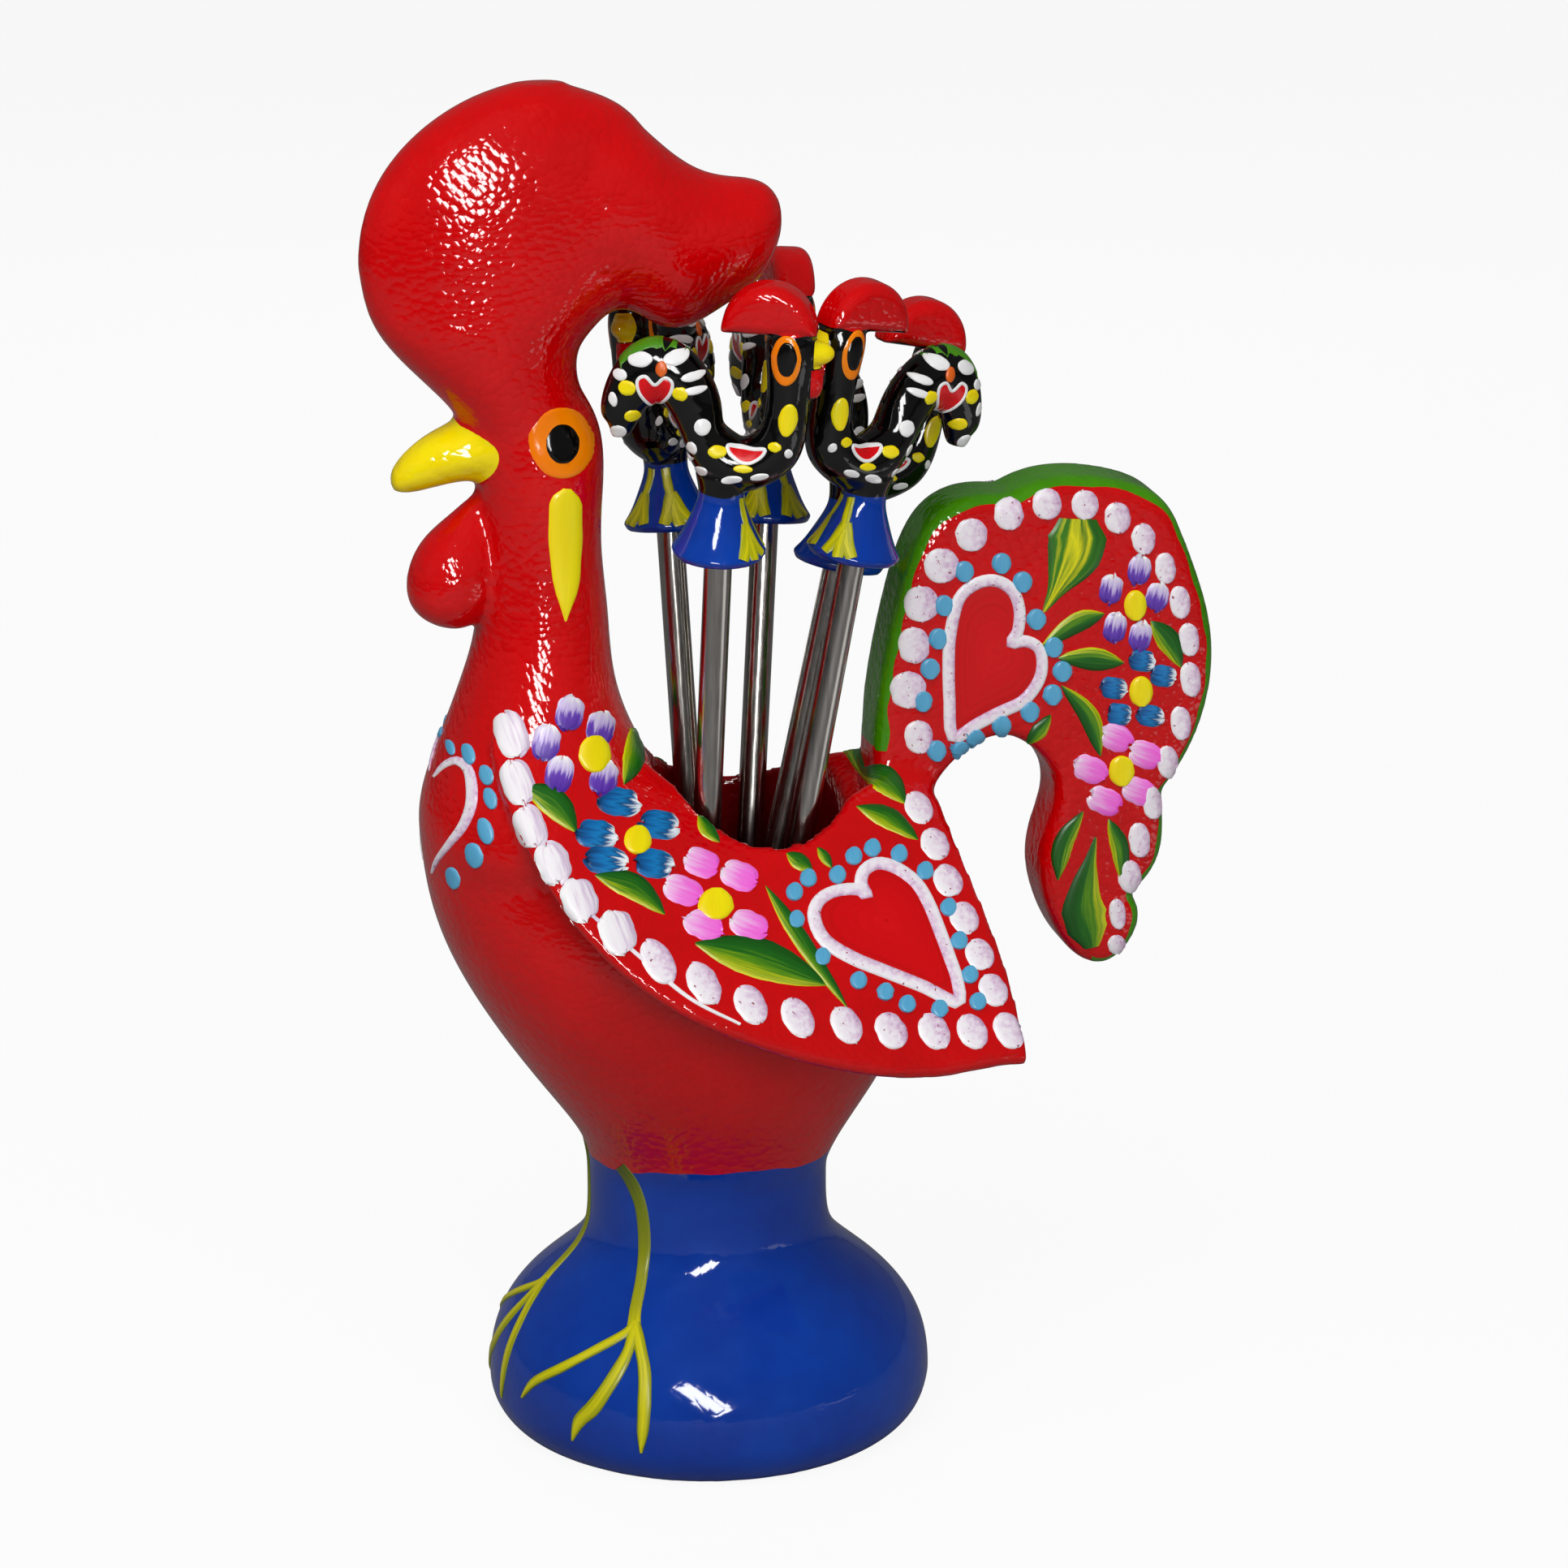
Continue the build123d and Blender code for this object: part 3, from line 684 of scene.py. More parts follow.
# %% [markdown]
# ## Wings
# A row of white dots follows the lower edge and turns up the trailing edge; near the neck they are long
# flat dabs. Inside it lie three flowers, leaves, and a heart outlined in white and ringed with pale blue
# dots. All places are pixels of the photograph, and the other wing gets the mirror image. A dot is (x, y,
# width, length), a flower has a centre, its petals and the sizes of petal and heart, and a leaf has a
# start, a bend, an end and a half width.

# %% Places on the wing
wing_dots = (
    (630, 905, 41, 57), (638, 964, 41, 54), (653, 1019, 40, 50), (681, 1064, 44, 48), (714, 1109, 45, 50),
    (761, 1149, 45, 52), (811, 1185, 42, 53), (867, 1212, 42, 50), (925, 1238, 42, 46), (983, 1254, 41, 47),
    (1043, 1263, 40, 44), (1098, 1270, 42, 42), (1151, 1271, 41, 42), (1198, 1271, 40, 41),
    (1243, 1270, 39, 42), (1224, 1220, 38, 37), (1207, 1176, 38, 36), (1188, 1131, 39, 37),
    (1168, 1085, 39, 37), (1152, 1040, 38, 36), (1132, 995, 37, 37),
)
wing_heart = (
    (1068, 1104), (1057, 1096), (1030, 1098), (1010, 1109), (1003, 1129), (1016, 1158), (1050, 1180),
    (1094, 1198), (1139, 1216), (1180, 1235), (1179, 1207), (1170, 1180), (1157, 1145), (1144, 1113),
    (1128, 1087), (1103, 1069), (1081, 1064), (1065, 1073), (1061, 1089),
)
wing_blue_dots = (
    (979, 1099), (996, 1082), (1032, 1078), (1052, 1055), (1075, 1045), (1108, 1052), (1140, 1073),
    (1169, 1118), (1182, 1159), (1195, 1201), (1205, 1234), (981, 1133), (1013, 1179), (1058, 1208),
    (1091, 1222), (1118, 1237), (1158, 1243),
)
wing_flowers = (
    ("purple_petal", (733, 929), ((702, 879), (740, 897), (673, 915), (689, 954), (744, 959)),
     (36, 40), (41, 47)),
    ("blue_petal", (786, 1035), ((763, 988), (812, 1016), (735, 1028), (747, 1060), (806, 1064)),
     (37, 46), (35, 36)),
    ("pink_petal", (882, 1114), ((864, 1063), (911, 1079), (841, 1097), (867, 1140), (923, 1140)),
     (36, 44), (45, 40)),
)
wing_leaves = (
    ((646, 968), (684, 990), (711, 1026), 19), ((780, 892), (781, 935), (769, 967), 14),
    ((733, 1078), (782, 1093), (820, 1127), 17), ((856, 1162), (940, 1182), (1021, 1214), 26),
    ((943, 1091), (990, 1162), (1045, 1243), 11), ((860, 1004), (872, 1022), (887, 1038), 10),
    ((969, 1051), (986, 1062), (1001, 1072), 11), ((1007, 1044), (1017, 1057), (1025, 1070), 7),
    ((1057, 950), (1091, 961), (1117, 991), 18), ((1055, 993), (1097, 1009), (1132, 1035), 14),
)
wing_line, wing_line_half = ((730, 1128), (790, 1180), (850, 1230), (912, 1262)), (2.5, 3, 2)
print("wing: dots", len(wing_dots), "blue dots", len(wing_blue_dots), "leaves", len(wing_leaves))

# %% Paint the wings
flat_dabs, flat_lean, flat_square, flat_ragged = 6, (0.35, 1), 3.2, 0.2
dot_lean, dot_stretch, dot_square, dot_ragged = (0.6, 1), (0.9, 1.12), 2.2, 0.08
leaf_shape = np.array((0.06, 0.62, 0.94, 1.0, 0.86, 0.55, 0.04))
outline_thick, outline_steps, wing_outline_half = 0.25, 64, 8.5
blue_dot_thick, wing_blue_size = 0.33, (22, 22)
slack_mm, line_thick, line_steps = 2.5, 0.12, 24

wing_paint = Coat(skin_tree, photo_ray_mm, camera_distance / MM, slack_mm)
for number, (x, y, width, length) in enumerate(wing_dots):
    if number < flat_dabs:
        wing_paint.dab("white_brush", (x, y), (width, length), flat_lean, square=flat_square,
                       ragged=flat_ragged)
    else:
        size = (width * dot_stretch[0], length * dot_stretch[1])
        wing_paint.dab("white_dab", (x, y), size, dot_lean, square=dot_square, ragged=dot_ragged)
for start, bend, end, half in wing_leaves:
    wing_paint.stroke("leaf", (start, bend, end), half * leaf_shape)
wing_paint.fill("heart_red", wing_heart)
wing_paint.stroke("white_dab", wing_heart, (wing_outline_half,) * 2, outline_thick, outline_steps, True)
for flower in wing_flowers:
    wing_paint.flower(*flower)
for place in wing_blue_dots:
    wing_paint.dab("light_blue", place, wing_blue_size, thick=blue_dot_thick)
wing_paint.stroke("white_stroke", wing_line, wing_line_half, line_thick, line_steps)
clay_piece("wing_paint", wing_paint.mesh("wing_paint"), "red_enamel", ())
print("wing strokes:", len(wing_paint.faces), "faces each side")

# %% [markdown]
# ## Tail
# The tail plate carries the same set of motifs on both faces: dots just inside the green edge, a long heart
# that leans with the front edge, a fan of leaves out of the heart and three flowers down the drooping
# feathers. Dots on a steep edge are drawn narrow, as the camera sees them.

# %% Places on the tail
tail_dots = (
    (1197, 659, 40, 40), (1243, 633, 37, 40), (1290, 621, 37, 38), (1337, 622, 34, 36), (1377, 638, 33, 38),
    (1409, 664, 30, 38), (1436, 700, 26, 38), (1454, 742, 26, 40), (1465, 788, 26, 40), (1467, 837, 26, 42),
    (1455, 891, 26, 41), (1439, 939, 27, 40), (1420, 989, 25, 40), (1404, 1035, 27, 42), (1392, 1080, 30, 40),
    (1377, 1126, 21, 37), (1376, 1164, 23, 23), (1160, 697, 44, 42), (1135, 744, 44, 44), (1126, 795, 40, 44),
    (1119, 850, 46, 44), (1132, 908, 36, 40),
)
tail_heart = (
    (1246, 792), (1254, 777), (1256, 752), (1248, 729), (1229, 716), (1206, 718), (1185, 733), (1176, 756),
    (1170, 790), (1169, 824), (1170, 861), (1174, 908), (1202, 893), (1231, 878), (1260, 864), (1279, 840),
    (1284, 817), (1279, 798), (1263, 790),
)
tail_blue_dots = (
    (1188, 704), (1234, 694), (1260, 717), (1277, 763), (1163, 746), (1156, 787), (1146, 824), (1137, 864),
    (1154, 925), (1298, 797), (1309, 827), (1297, 856), (1269, 877), (1234, 894), (1202, 911), (1184, 926),
)
tail_flowers = (
    ("purple_petal", (1399, 746), ((1369, 726), (1404, 702), (1426, 735), (1374, 773), (1405, 784)),
     (29, 33), (29, 38)),
    ("blue_petal", (1406, 852), ((1372, 848), (1407, 814), (1433, 833), (1379, 880), (1417, 882)),
     (28, 31), (30, 38)),
    ("pink_petal", (1382, 950), ((1375, 909), (1411, 930), (1343, 948), (1361, 987), (1403, 975)),
     (34, 38), (33, 38)),
)
tail_leaves = (
    ((1361, 756), (1326, 768), (1281, 799), 13), ((1385, 817), (1345, 812), (1303, 811), 15),
    ((1356, 932), (1342, 883), (1307, 844), 13), ((1418, 765), (1440, 790), (1456, 823), 15),
    ((1264, 917), (1281, 900), (1295, 880), 10), ((1303, 1085), (1310, 1040), (1335, 999), 13),
    ((1366, 1009), (1380, 1045), (1382, 1087), 12),
)
fan_line, fan_half = ((1285, 756), (1306, 718), (1325, 677), (1328, 639)), (2, 9, 22, 35, 38, 24)
tip_line, tip_half = ((1345, 1167), (1335, 1110), (1351, 1026)), (10, 26, 29, 19, 8, 1)
print("tail: dots", len(tail_dots), "blue dots", len(tail_blue_dots), "leaves", len(tail_leaves) + 2)

# %% Paint the tail
tail_lean, tail_square, tail_outline_half, tail_blue_size = (0.1, 1), 2.3, 8, (25, 26)
tail_paint = Coat(skin_tree, photo_ray_mm, camera_distance / MM, slack_mm)
for x, y, width, length in tail_dots:
    tail_paint.dab("white_dab", (x, y), (width, length), tail_lean, square=tail_square, ragged=dot_ragged)
for start, bend, end, half in tail_leaves:
    tail_paint.stroke("leaf", (start, bend, end), half * leaf_shape)
tail_paint.stroke("fan_leaf", fan_line, fan_half)
tail_paint.stroke("leaf", tip_line, tip_half)
tail_paint.fill("heart_red", tail_heart)
tail_paint.stroke("white_dab", tail_heart, (tail_outline_half,) * 2, outline_thick, outline_steps, True)
for flower in tail_flowers:
    tail_paint.flower(*flower)
for place in tail_blue_dots:
    tail_paint.dab("light_blue", place, tail_blue_size, thick=blue_dot_thick)
clay_piece("tail_paint", tail_paint.mesh("tail_paint"), "red_enamel", ())
print("tail strokes:", len(tail_paint.faces), "faces each side")

# %% [markdown]
# ## Head, chest and feet
# An orange ring with a black pupil, a long yellow drop down the neck, half a heart on each side of the
# breast line, and a pair of three-toed feet drawn down the blue bell, each a shin and three toes in
# yellow-green. The bell is round, so the second foot is the first one turned about its axis.

# %% Paint the head
eye_ring, eye_ring_size, eye_ring_thick = (693, 546), (87, 88), 0.1
pupil, pupil_size = (693, 547), (46, 49)
drop_line = ((699, 602), (697, 628), (697, 680), (698, 725), (697, 767))
drop_half = (5, 16, 21, 22.5, 22, 20.5, 19, 16.5, 13, 7, 1)
head_thick, drop_steps = 0.22, 30
head_paint = Coat(skin_tree, photo_ray_mm, camera_distance / MM, slack_mm)
head_paint.dab("orange_ring", eye_ring, eye_ring_size, thick=eye_ring_thick)
head_paint.dab("black_dab", pupil, pupil_size, thick=head_thick)
head_paint.stroke("yellow_dab", drop_line, drop_half, head_thick, drop_steps)
clay_piece("head_paint", head_paint.mesh("head_paint"), "red_enamel", ())
print("head strokes:", len(head_paint.faces), "faces each side")

# %% Paint the chest
chest_heart = ((534, 957), (547, 943), (562, 937), (576, 947), (581, 968), (580, 993), (570, 1018),
               (554, 1039), (539, 1059), (532, 1076))
chest_dots = ((555, 921, 11, 20), (577, 929, 17, 27), (599, 955, 18, 26), (604, 984, 17, 28),
              (598, 1024, 20, 34), (584, 1054, 23, 32), (558, 1082, 18, 28))
chest_heart_half, chest_lean, long_steps = (1.5, 4.5, 6.5, 7.5, 7.5, 6, 4, 1.5), (0.3, 1), 28
chest_paint = Coat(skin_tree, photo_ray_mm, camera_distance / MM, slack_mm)
chest_paint.stroke("white_dab", chest_heart, chest_heart_half, steps=long_steps)
for x, y, width, length in chest_dots:
    chest_paint.dab("light_blue", (x, y), (width, length), chest_lean)
clay_piece("chest_paint", chest_paint.mesh("chest_paint"), "red_enamel", ())
print("chest strokes:", len(chest_paint.faces), "faces each side")

# %% Paint the feet
foot_lines = (
    ((764, 1437), (779, 1459), (790, 1489), (794, 1533), (790, 1576), (783, 1613), (781, 1634)),
    ((783, 1628), (771, 1642), (732, 1664), (692, 1685), (659, 1702), (643, 1722)),
    ((783, 1628), (774, 1664), (757, 1696), (732, 1733), (714, 1751), (705, 1775)),
    ((782, 1628), (788, 1656), (794, 1689), (794, 1725), (792, 1762), (790, 1790)),
)
foot_widths = ((6, 8, 8, 7.5, 7.5, 9), (6, 5.5, 6, 6.5, 6, 1.5), (7, 7, 9, 10.5, 9, 1.5),
               (7, 8, 8.5, 9, 8, 2))
far_leg_turn = -52
foot_paint = Coat(skin_tree, photo_ray_mm, camera_distance / MM, slack_mm)
for paint, line, widths in zip(("shin", "claw", "claw", "claw"), foot_lines, foot_widths):
    foot_paint.stroke(paint, line, widths, steps=long_steps)
clay_piece("near_leg_paint", foot_paint.mesh("near_leg_paint", (1,)), "blue_enamel", ())
far_leg = foot_paint.mesh("far_leg_paint", (1,))
far_leg.transform(Matrix.Rotation(math.radians(far_leg_turn), 4, "Z"))
clay_piece("far_leg_paint", far_leg, "blue_enamel", ())
print("foot strokes:", len(foot_paint.faces), "faces each foot")

# %% [markdown]
# ## Small cast roosters
# Every fork ends in the same small rooster, cast in metal and enamelled black, with a blue bell, a red comb
# and wattle and a yellow beak. One casting is melted from the CAD mesh of the first fork, in the fork's own
# frame, drawn in a little at the waist over the bell, and shared by the five forks, as castings from one
# mould are. The frame of each fork follows from where its tines stand in the bowl of the cup and where its
# bell is.

# %% Where the forks stand
fork_stands = ((-2.3, -4.8), (0.9, 3.9), (4.4, 3.7), (3.5, -6.3), (1.9, 0.0))
fork_bells = ((-1.0, -10.3), (-0.9, 12.2), (9.5, 12.5), (14.0, -7.0), (14.9, 2.8))
fork_headings = (-18, -124, -90, -161, 12)
shank_reach, tine_half, rest_gap = 58.8, (2.25, 0.8), 0.4
bowl_height, bowl_depth, bowl_middle, bowl_half = 34.6, 8.0, 2.5, (10.5, 11.5)


def fork_place(stand, bell, heading):
    """The frame of a fork at the foot of its bell: x where the small rooster looks, z along the shank."""
    look = Vector((math.cos(math.radians(heading)), math.sin(math.radians(heading)), 0))
    side = Vector((-look.y, look.x, 0))
    tips = [Vector((*stand, 0)) + look * i * tine_half[0] + side * j * tine_half[1]
            for i in (-1, 1) for j in (-1, 1)]
    share = max(((t.x - bowl_middle) / bowl_half[0]) ** 2 + (t.y / bowl_half[1]) ** 2 for t in tips)
    flat = Vector(bell) - Vector(stand)
    up = Vector((*flat, math.sqrt(shank_reach ** 2 - flat.length_squared))).normalized()
    foot = Vector((*stand, bowl_height + bowl_depth * share)) + up * (shank_reach + rest_gap)
    front = (look - up * look.dot(up)).normalized()
    turn = Matrix((front, up.cross(front), up)).transposed().to_4x4()
    return Matrix.Translation(foot * MM) @ turn


fork_places = [fork_place(*fork) for fork in zip(fork_stands, fork_bells, fork_headings)]
print("bells at, mm:", [[round(c / MM, 1) for c in place.translation] for place in fork_places])

# %% One casting for five forks
cast_voxel_mm, cast_rounds = 0.2, 5
waist_mm, waist_spread_mm, waist_pinch = 6.6, 2.2, 0.2
casting = melted([nodes["fork_1_finial"].data], fork_places[0].inverted(), cast_voxel_mm)
casting = smoothed(casting, cast_rounds)
cast_spots, cast_faces = places(casting), [list(face.vertices) for face in casting.polygons]
pinch = 1 - waist_pinch * np.exp(-((cast_spots[:, 2] - waist_mm) / waist_spread_mm) ** 2)
cast_spots[:, :2] *= pinch[:, None]
casting.vertices.foreach_set("co", (cast_spots * MM).ravel())
cast_tree = BVHTree.FromPolygons([Vector(s) for s in cast_spots.tolist()], cast_faces)
print("casting:", len(casting.polygons), "faces")

# %% [markdown]
# The colours of a casting meet where the shape changes: the comb sits on the head, the bell under the
# waist, and beak and wattle stick out in front. So plain heights and a distance forward are enough to part
# them, with a slight wave where the brush went round.

# %% Colours of the casting
comb_low, bell_top = 24.5, 7.0
comb_wave, comb_pace, bell_wave, bell_pace = 0.12, 1.7, 0.1, 1.3
beak_from, beak_height, wattle_from, wattle_height, tip_reach = 8.85, 22.3, 8.65, 19.2, 1.5


def comb_edge(p):
    return comb_low + comb_wave * np.sin(p[:, 0] * comb_pace) - p[:, 2]


def bell_edge(p):
    return p[:, 2] - bell_top - bell_wave * np.sin(p[:, 0] * bell_pace + p[:, 1])


def beak_edge(p):
    return np.maximum(beak_from - p[:, 0], np.abs(p[:, 2] - beak_height) - tip_reach)


def wattle_edge(p):
    return np.maximum(wattle_from - p[:, 0], np.abs(p[:, 2] - wattle_height) - tip_reach)


black_enamel = gloss_enamel("black_gloss_enamel", "080808", "020202", 1.2, 0.03)
cast_colours = ((comb_edge, red_enamel), (bell_edge, blue_enamel), (beak_edge, yellow_enamel),
                (wattle_edge, red_enamel))
for border, _ in cast_colours:
    cut_along(casting, border(places(casting)))
spots = places(casting)
centres = np.array([spots[list(face.vertices)].mean(0) for face in casting.polygons])
colour_of = np.zeros(len(centres), np.int32)
casting.materials.append(black_enamel)
for number, (border, finish) in enumerate(cast_colours, 1):
    colour_of[border(centres) < 0] = number
    casting.materials.append(finish)
casting.polygons.foreach_set("material_index", colour_of)
casting.polygons.foreach_set("use_smooth", np.ones(len(centres), bool))
for number, place in enumerate(fork_places, 1):
    finial = new_piece(f"fork_{number}_casting", casting)
    finial.matrix_world = place
    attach(finial, f"fork_{number}")
    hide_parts(f"fork_{number}_finial")
print("casting used", len(fork_places), "times")

# %% [markdown]
# The small roosters are painted like the big one, only coarser: a few dabs of white along the edges, yellow
# dots, a heart on the tail and one on the back, an orange eye and two olive feet. Here a place is (forward,
# up) in millimetres on the side of the casting.

# %% Places on the casting
tail_dabs = ((-8.6, 21.0, 1.5, 2.6), (-5.0, 21.4, 1.5, 2.6), (-3.2, 19.6, 1.0, 2.4), (-3.0, 18.2, 0.9, 2.6),
             (-2.0, 14.5, 1.8, 1.7), (-3.0, 12.1, 1.5, 1.1), (-10.6, 19.2, 1.2, 1.5), (-11.2, 16.6, 1.6, 0.9),
             (-10.6, 13.0, 1.7, 1.7))
belly_dabs = ((-2.0, 9.6, 1.2, 1.4), (1.2, 9.1, 1.0, 2.2), (4.0, 9.6, 0.9, 1.9), (6.8, 12.2, 1.1, 0.8),
              (-3.4, 10.6, 1.1, 0.8))
yellow_dots = ((-9.8, 18.0, 1.7, 1.8), (-9.2, 14.9, 1.5, 1.6), (-4.4, 17.8, 1.6, 1.6), (-0.4, 12.0, 1.4, 1.9),
               (5.4, 12.9, 1.1, 1.4), (2.3, 10.4, 0.9, 2.0))
heart_shape = ((0, 0.55), (0.55, 1), (1, 0.75), (0.9, 0.1), (0.4, -0.6), (0, -1), (-0.4, -0.6), (-0.9, 0.1),
               (-1, 0.75), (-0.55, 1))
cup_shape = ((-1, 0.7), (-0.4, 0.5), (0.4, 0.5), (1, 0.7), (0.85, -0.1), (0.4, -0.8), (0, -1), (-0.4, -0.8),
             (-0.85, -0.1))
small_hearts = ((heart_shape, (-7.0, 17.5), (1.75, 1.9)), (cup_shape, (2.5, 11.9), (1.9, 0.9)))
green_line, green_half = ((-11.2, 19.9), (-8.8, 22.3), (-6.0, 22.9), (-3.6, 22.0)), (0.3, 0.6, 0.6, 0.3)
tail_spot, tail_spot_size = (-6.4, 20.3), (1.2, 1.6)
small_ring, small_ring_size = (6.1, 22.0), (3.3, 5.2)
small_pupil, small_pupil_size = (6.2, 22.2), (2.3, 3.6)
small_drop, small_drop_size, small_drop_lean = (6.6, 15.8), (2.0, 3.5), (0.1, 1)
small_foot = (((20, 6.6), (23, 5.2), (29, 3.4)), ((29, 3.9), (40, 2.4), (53, 0.9)),
              ((29, 3.9), (32, 2.2), (35, 0.7)), ((29, 3.9), (22, 2.4), (14, 0.9)))
small_foot_half = (0.85, 0.75, 0.5)
print("casting: dabs", len(tail_dabs) + len(belly_dabs), "yellow dots", len(yellow_dots))

# %% Paint the casting
cast_reach, cast_slack, bell_radius = 30, 1.3, 3.6
dab_thick, dot_thick, drop_rise, spot_thick, pupil_thick = 0.12, 0.14, 0.16, 0.2, 0.18
under_thick, small_fill, small_outline, small_steps = 0.1, 0.08, 0.2, 48
white_lean, yellow_lean = (1, 0.2), (1, 0)


def side_ray(place):
    """A ray across the casting at a place on its side."""
    return Vector((place[0], -cast_reach, place[1])), Vector((0, 1, 0))


def bell_ray(place):
    """A ray to the axis of the bell, from the side of it that a length round the bell leads to."""
    turn = place[0] / bell_radius
    out = Vector((math.cos(turn), -math.sin(turn), 0))
    return out * cast_reach + Vector((0, 0, place[1])), -out


cast_paint = Coat(cast_tree, side_ray, cast_reach, cast_slack)
cast_paint.stroke("green_dab", green_line, green_half, under_thick)
for x, z, width, length in tail_dabs + belly_dabs:
    cast_paint.dab("pure_white", (x, z), (width, length), white_lean, dab_thick)
for x, z, width, length in yellow_dots:
    cast_paint.dab("yellow_dab", (x, z), (width, length), yellow_lean, dot_thick)
for shape, centre, half in small_hearts:
    outline = [(centre[0] + x * half[0], centre[1] + z * half[1]) for x, z in shape]
    cast_paint.fill("red_dab", outline, small_fill)
    cast_paint.stroke("pure_white", outline, (small_outline,) * 2, dot_thick, small_steps, True)
cast_paint.dab("orange_dab", tail_spot, tail_spot_size, thick=spot_thick)
cast_paint.dab("orange_ring", small_ring, small_ring_size, thick=under_thick)
cast_paint.dab("black_dab", small_pupil, small_pupil_size, thick=pupil_thick)
cast_paint.dab("yellow_dab", small_drop, small_drop_size, small_drop_lean, drop_rise)
cast_paint.ray = bell_ray
for line in small_foot:
    path = [(bell_radius * math.radians(turn), up) for turn, up in line]
    cast_paint.stroke("claw", path, small_foot_half, dab_thick)
cast_mesh = cast_paint.mesh("cast_paint")
for number, place in enumerate(fork_places, 1):
    strokes = new_piece(f"fork_{number}_paint", cast_mesh)
    strokes.matrix_world = place
    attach(strokes, f"fork_{number}")
print("casting strokes:", len(cast_paint.faces), "faces each side")

# %% [markdown]
# ## Fork shanks
# The shanks are drawn steel rod, polished along its length: a dark mirror with long soft streaks, so the
# lamps show as one bright line down each rod. Real drawing lines are finer than the render can show, so
# they are drawn a third of a millimetre wide. The CAD solids are kept as they are and only take the finish.

# %% Polished steel
steel, tree, shader = new_finish("polished_steel")
where = add_node(tree, "ShaderNodeTexCoord").outputs["Object"]
hair_mm, run_mm, line_depth_mm, line_strength = 0.35, 25, 0.05, 0.15
bright_polish, dull_polish = 0.1, 0.26
drawn = add_node(tree, "ShaderNodeVectorMath", {"operation": "MULTIPLY"}, _0=where,
                 _1=(1 / (hair_mm * MM), 1 / (hair_mm * MM), 1 / (run_mm * MM)))
lines = add_node(tree, "ShaderNodeTexNoise", Vector=drawn.outputs[0], Scale=1.0, Detail=4.0)
tint = add_node(tree, "ShaderNodeMix", {"data_type": "RGBA"}, _0=lines.outputs["Fac"],
                _6=paint_colour("8C8884"), _7=paint_colour("CCC8C2"))
tree.links.new(tint.outputs[2], shader.inputs["Base Color"])
rough = add_node(tree, "ShaderNodeMapRange", Value=lines.outputs["Fac"], To_Min=bright_polish,
                 To_Max=dull_polish)
tree.links.new(rough.outputs[0], shader.inputs["Roughness"])
ridges = add_node(tree, "ShaderNodeBump", Height=lines.outputs["Fac"], Strength=line_strength,
                  Distance=line_depth_mm * MM)
tree.links.new(ridges.outputs["Normal"], shader.inputs["Normal"])
shader.inputs["Metallic"].default_value = 1
for number in range(1, len(fork_places) + 1):
    shank = nodes[f"fork_{number}_shank"]
    shank.data.materials.clear()
    shank.data.materials.append(steel)
print("steel on", number, "shanks")

# %% [markdown]
# ## Stage
# The photograph has a white ground and soft light from above and in front. One tall window shows as a
# broken reflection on the comb, and the table as a bright line down each shank. Here four soft boxes light
# the colours without mirroring in the enamel, and a window and a card on the floor only show in the gloss.
# The world looks white to the camera, and dim to the gloss and to everything it lights, so that the reds
# stay as deep as they are written. The floor is white paper that looks almost as bright as that to the
# camera, and still takes a faint shadow.

# %% World and floor
white_level, gloss_level, fill_level = 1.0, 0.12, 0.13
floor_half, floor_drop, paper_roughness, paper_glow = 3, 0.1 * MM, 0.9, 0.92
world = bpy.data.worlds.new("studio")
bpy.context.scene.world = world
world.use_nodes = True
sky = world.node_tree
path = add_node(sky, "ShaderNodeLightPath")
seen = add_node(sky, "ShaderNodeMath", {"operation": "MAXIMUM"}, _0=path.outputs["Is Camera Ray"],
                _1=path.outputs["Is Transmission Ray"])
dim = add_node(sky, "ShaderNodeMapRange", Value=path.outputs["Is Glossy Ray"], To_Min=fill_level,
               To_Max=gloss_level)
level = add_node(sky, "ShaderNodeMapRange", Value=seen.outputs[0], To_Min=dim.outputs[0],
                 To_Max=white_level)
sky.links.new(level.outputs[0], sky.nodes["Background"].inputs["Strength"])
sky.nodes["Background"].inputs["Color"].default_value = (1, 1, 1, 1)

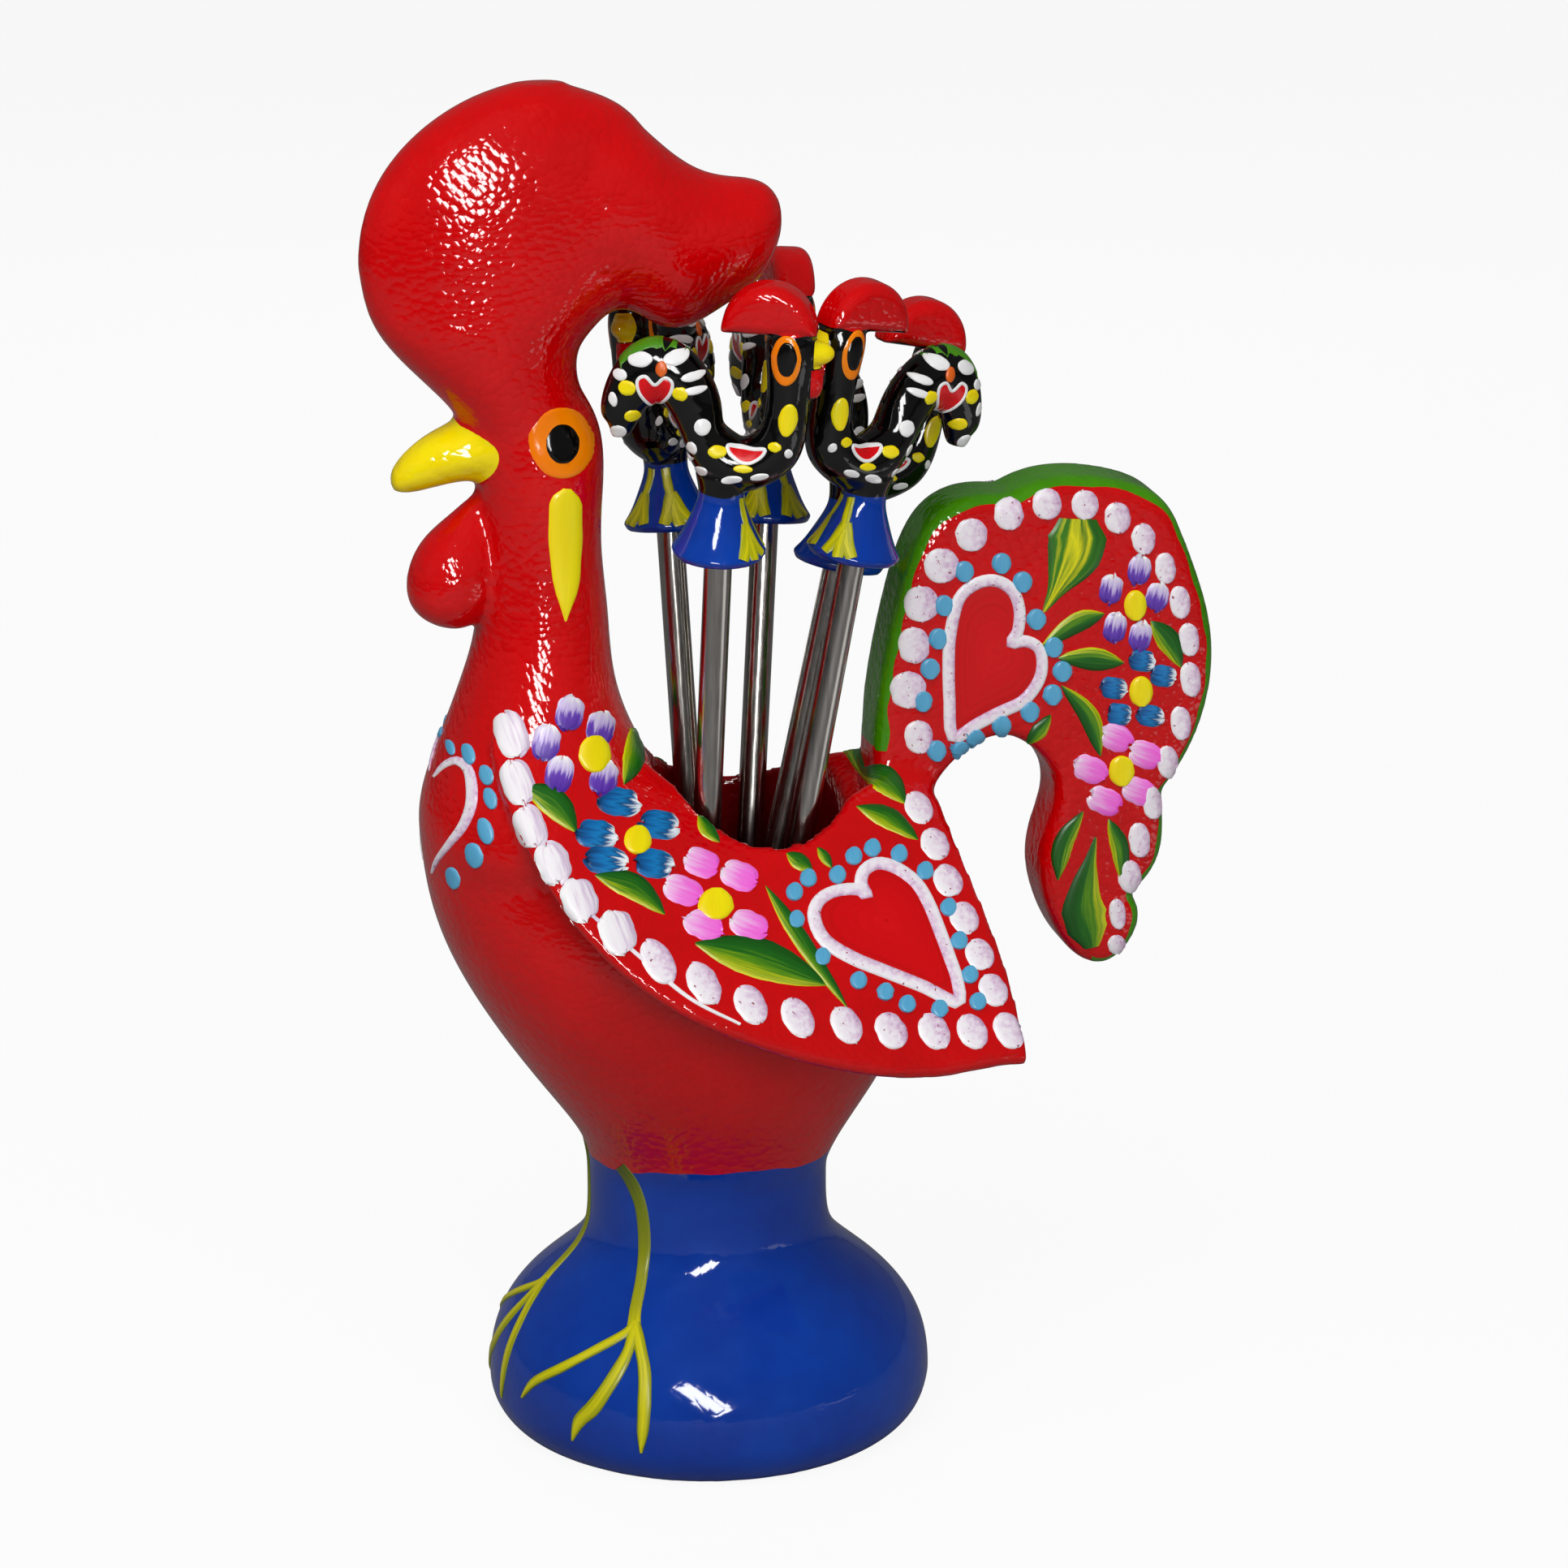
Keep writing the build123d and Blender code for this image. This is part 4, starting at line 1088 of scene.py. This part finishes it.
floor_mesh = bpy.data.meshes.new("floor")
corners = [(x * floor_half, y * floor_half, -floor_drop) for x, y in ((-1, -1), (1, -1), (1, 1), (-1, 1))]
floor_mesh.from_pydata(corners, [], [(0, 1, 2, 3)])
floor = new_piece("floor", floor_mesh)
paper, tree, shader = new_finish("white_paper")
shader.inputs["Roughness"].default_value = paper_roughness
lit = add_node(tree, "ShaderNodeEmission", Color=(1, 1, 1, 1), Strength=1.0)
path = add_node(tree, "ShaderNodeLightPath")
tone = add_node(tree, "ShaderNodeMix", {"data_type": "RGBA"}, _0=path.outputs["Is Camera Ray"],
                _6=paint_colour("909090"), _7=paint_colour("F8F8F8"))
tree.links.new(tone.outputs[2], shader.inputs["Base Color"])
share = add_node(tree, "ShaderNodeMath", {"operation": "MULTIPLY"}, _0=path.outputs["Is Camera Ray"],
                 _1=paper_glow)
mixed = add_node(tree, "ShaderNodeMixShader", _0=share.outputs[0], _1=shader.outputs[0], _2=lit.outputs[0])
tree.links.new(mixed.outputs[0], tree.nodes["Material Output"].inputs["Surface"])
floor_mesh.materials.append(paper)
print("floor", 2 * floor_half, "m wide, world at", white_level, "to the camera")

# %% Lamps
# Each soft box has a place, a point that it faces and a size in mm, and its power in watts.
soft_boxes = (
    ("overhead", (-100, -260, 430), (5, 0, 75), (350, 350), 1.25),
    ("front", (220, -650, 180), (5, 0, 75), (500, 500), 1.5),
    ("left", (-500, -150, 300), (5, 0, 75), (300, 300), 0.6),
    ("back", (100, 500, 400), (5, 0, 75), (500, 400), 0.9),
    ("window", (-215, -728, 312), (5, 0, 75), (140, 500), 4.6),
    ("card", (165, -135, 1), (165, -135, 300), (80, 100), 0.025),
)
mirrored, window_lean = ("window", "card"), 40
for name, place, aim, size, watts in soft_boxes:
    lamp = bpy.data.lights.new(name, "AREA")
    lamp.shape = "RECTANGLE"
    lamp.size, lamp.size_y = size[0] * MM, size[1] * MM
    lamp.energy = watts
    box = bpy.data.objects.new(name, lamp)
    bpy.context.scene.collection.objects.link(box)
    box.location = Vector(place) * MM
    box.rotation_euler = (Vector(place) - Vector(aim)).to_track_quat("Z", "Y").to_euler()
    if name == "window":
        box.rotation_euler.rotate_axis("Z", math.radians(window_lean))
    box.visible_glossy, box.visible_diffuse = name in mirrored, name not in mirrored
print("stage set with", len(soft_boxes), "soft boxes")

# %% Finish
bpy.context.scene.view_settings.view_transform = "Standard"
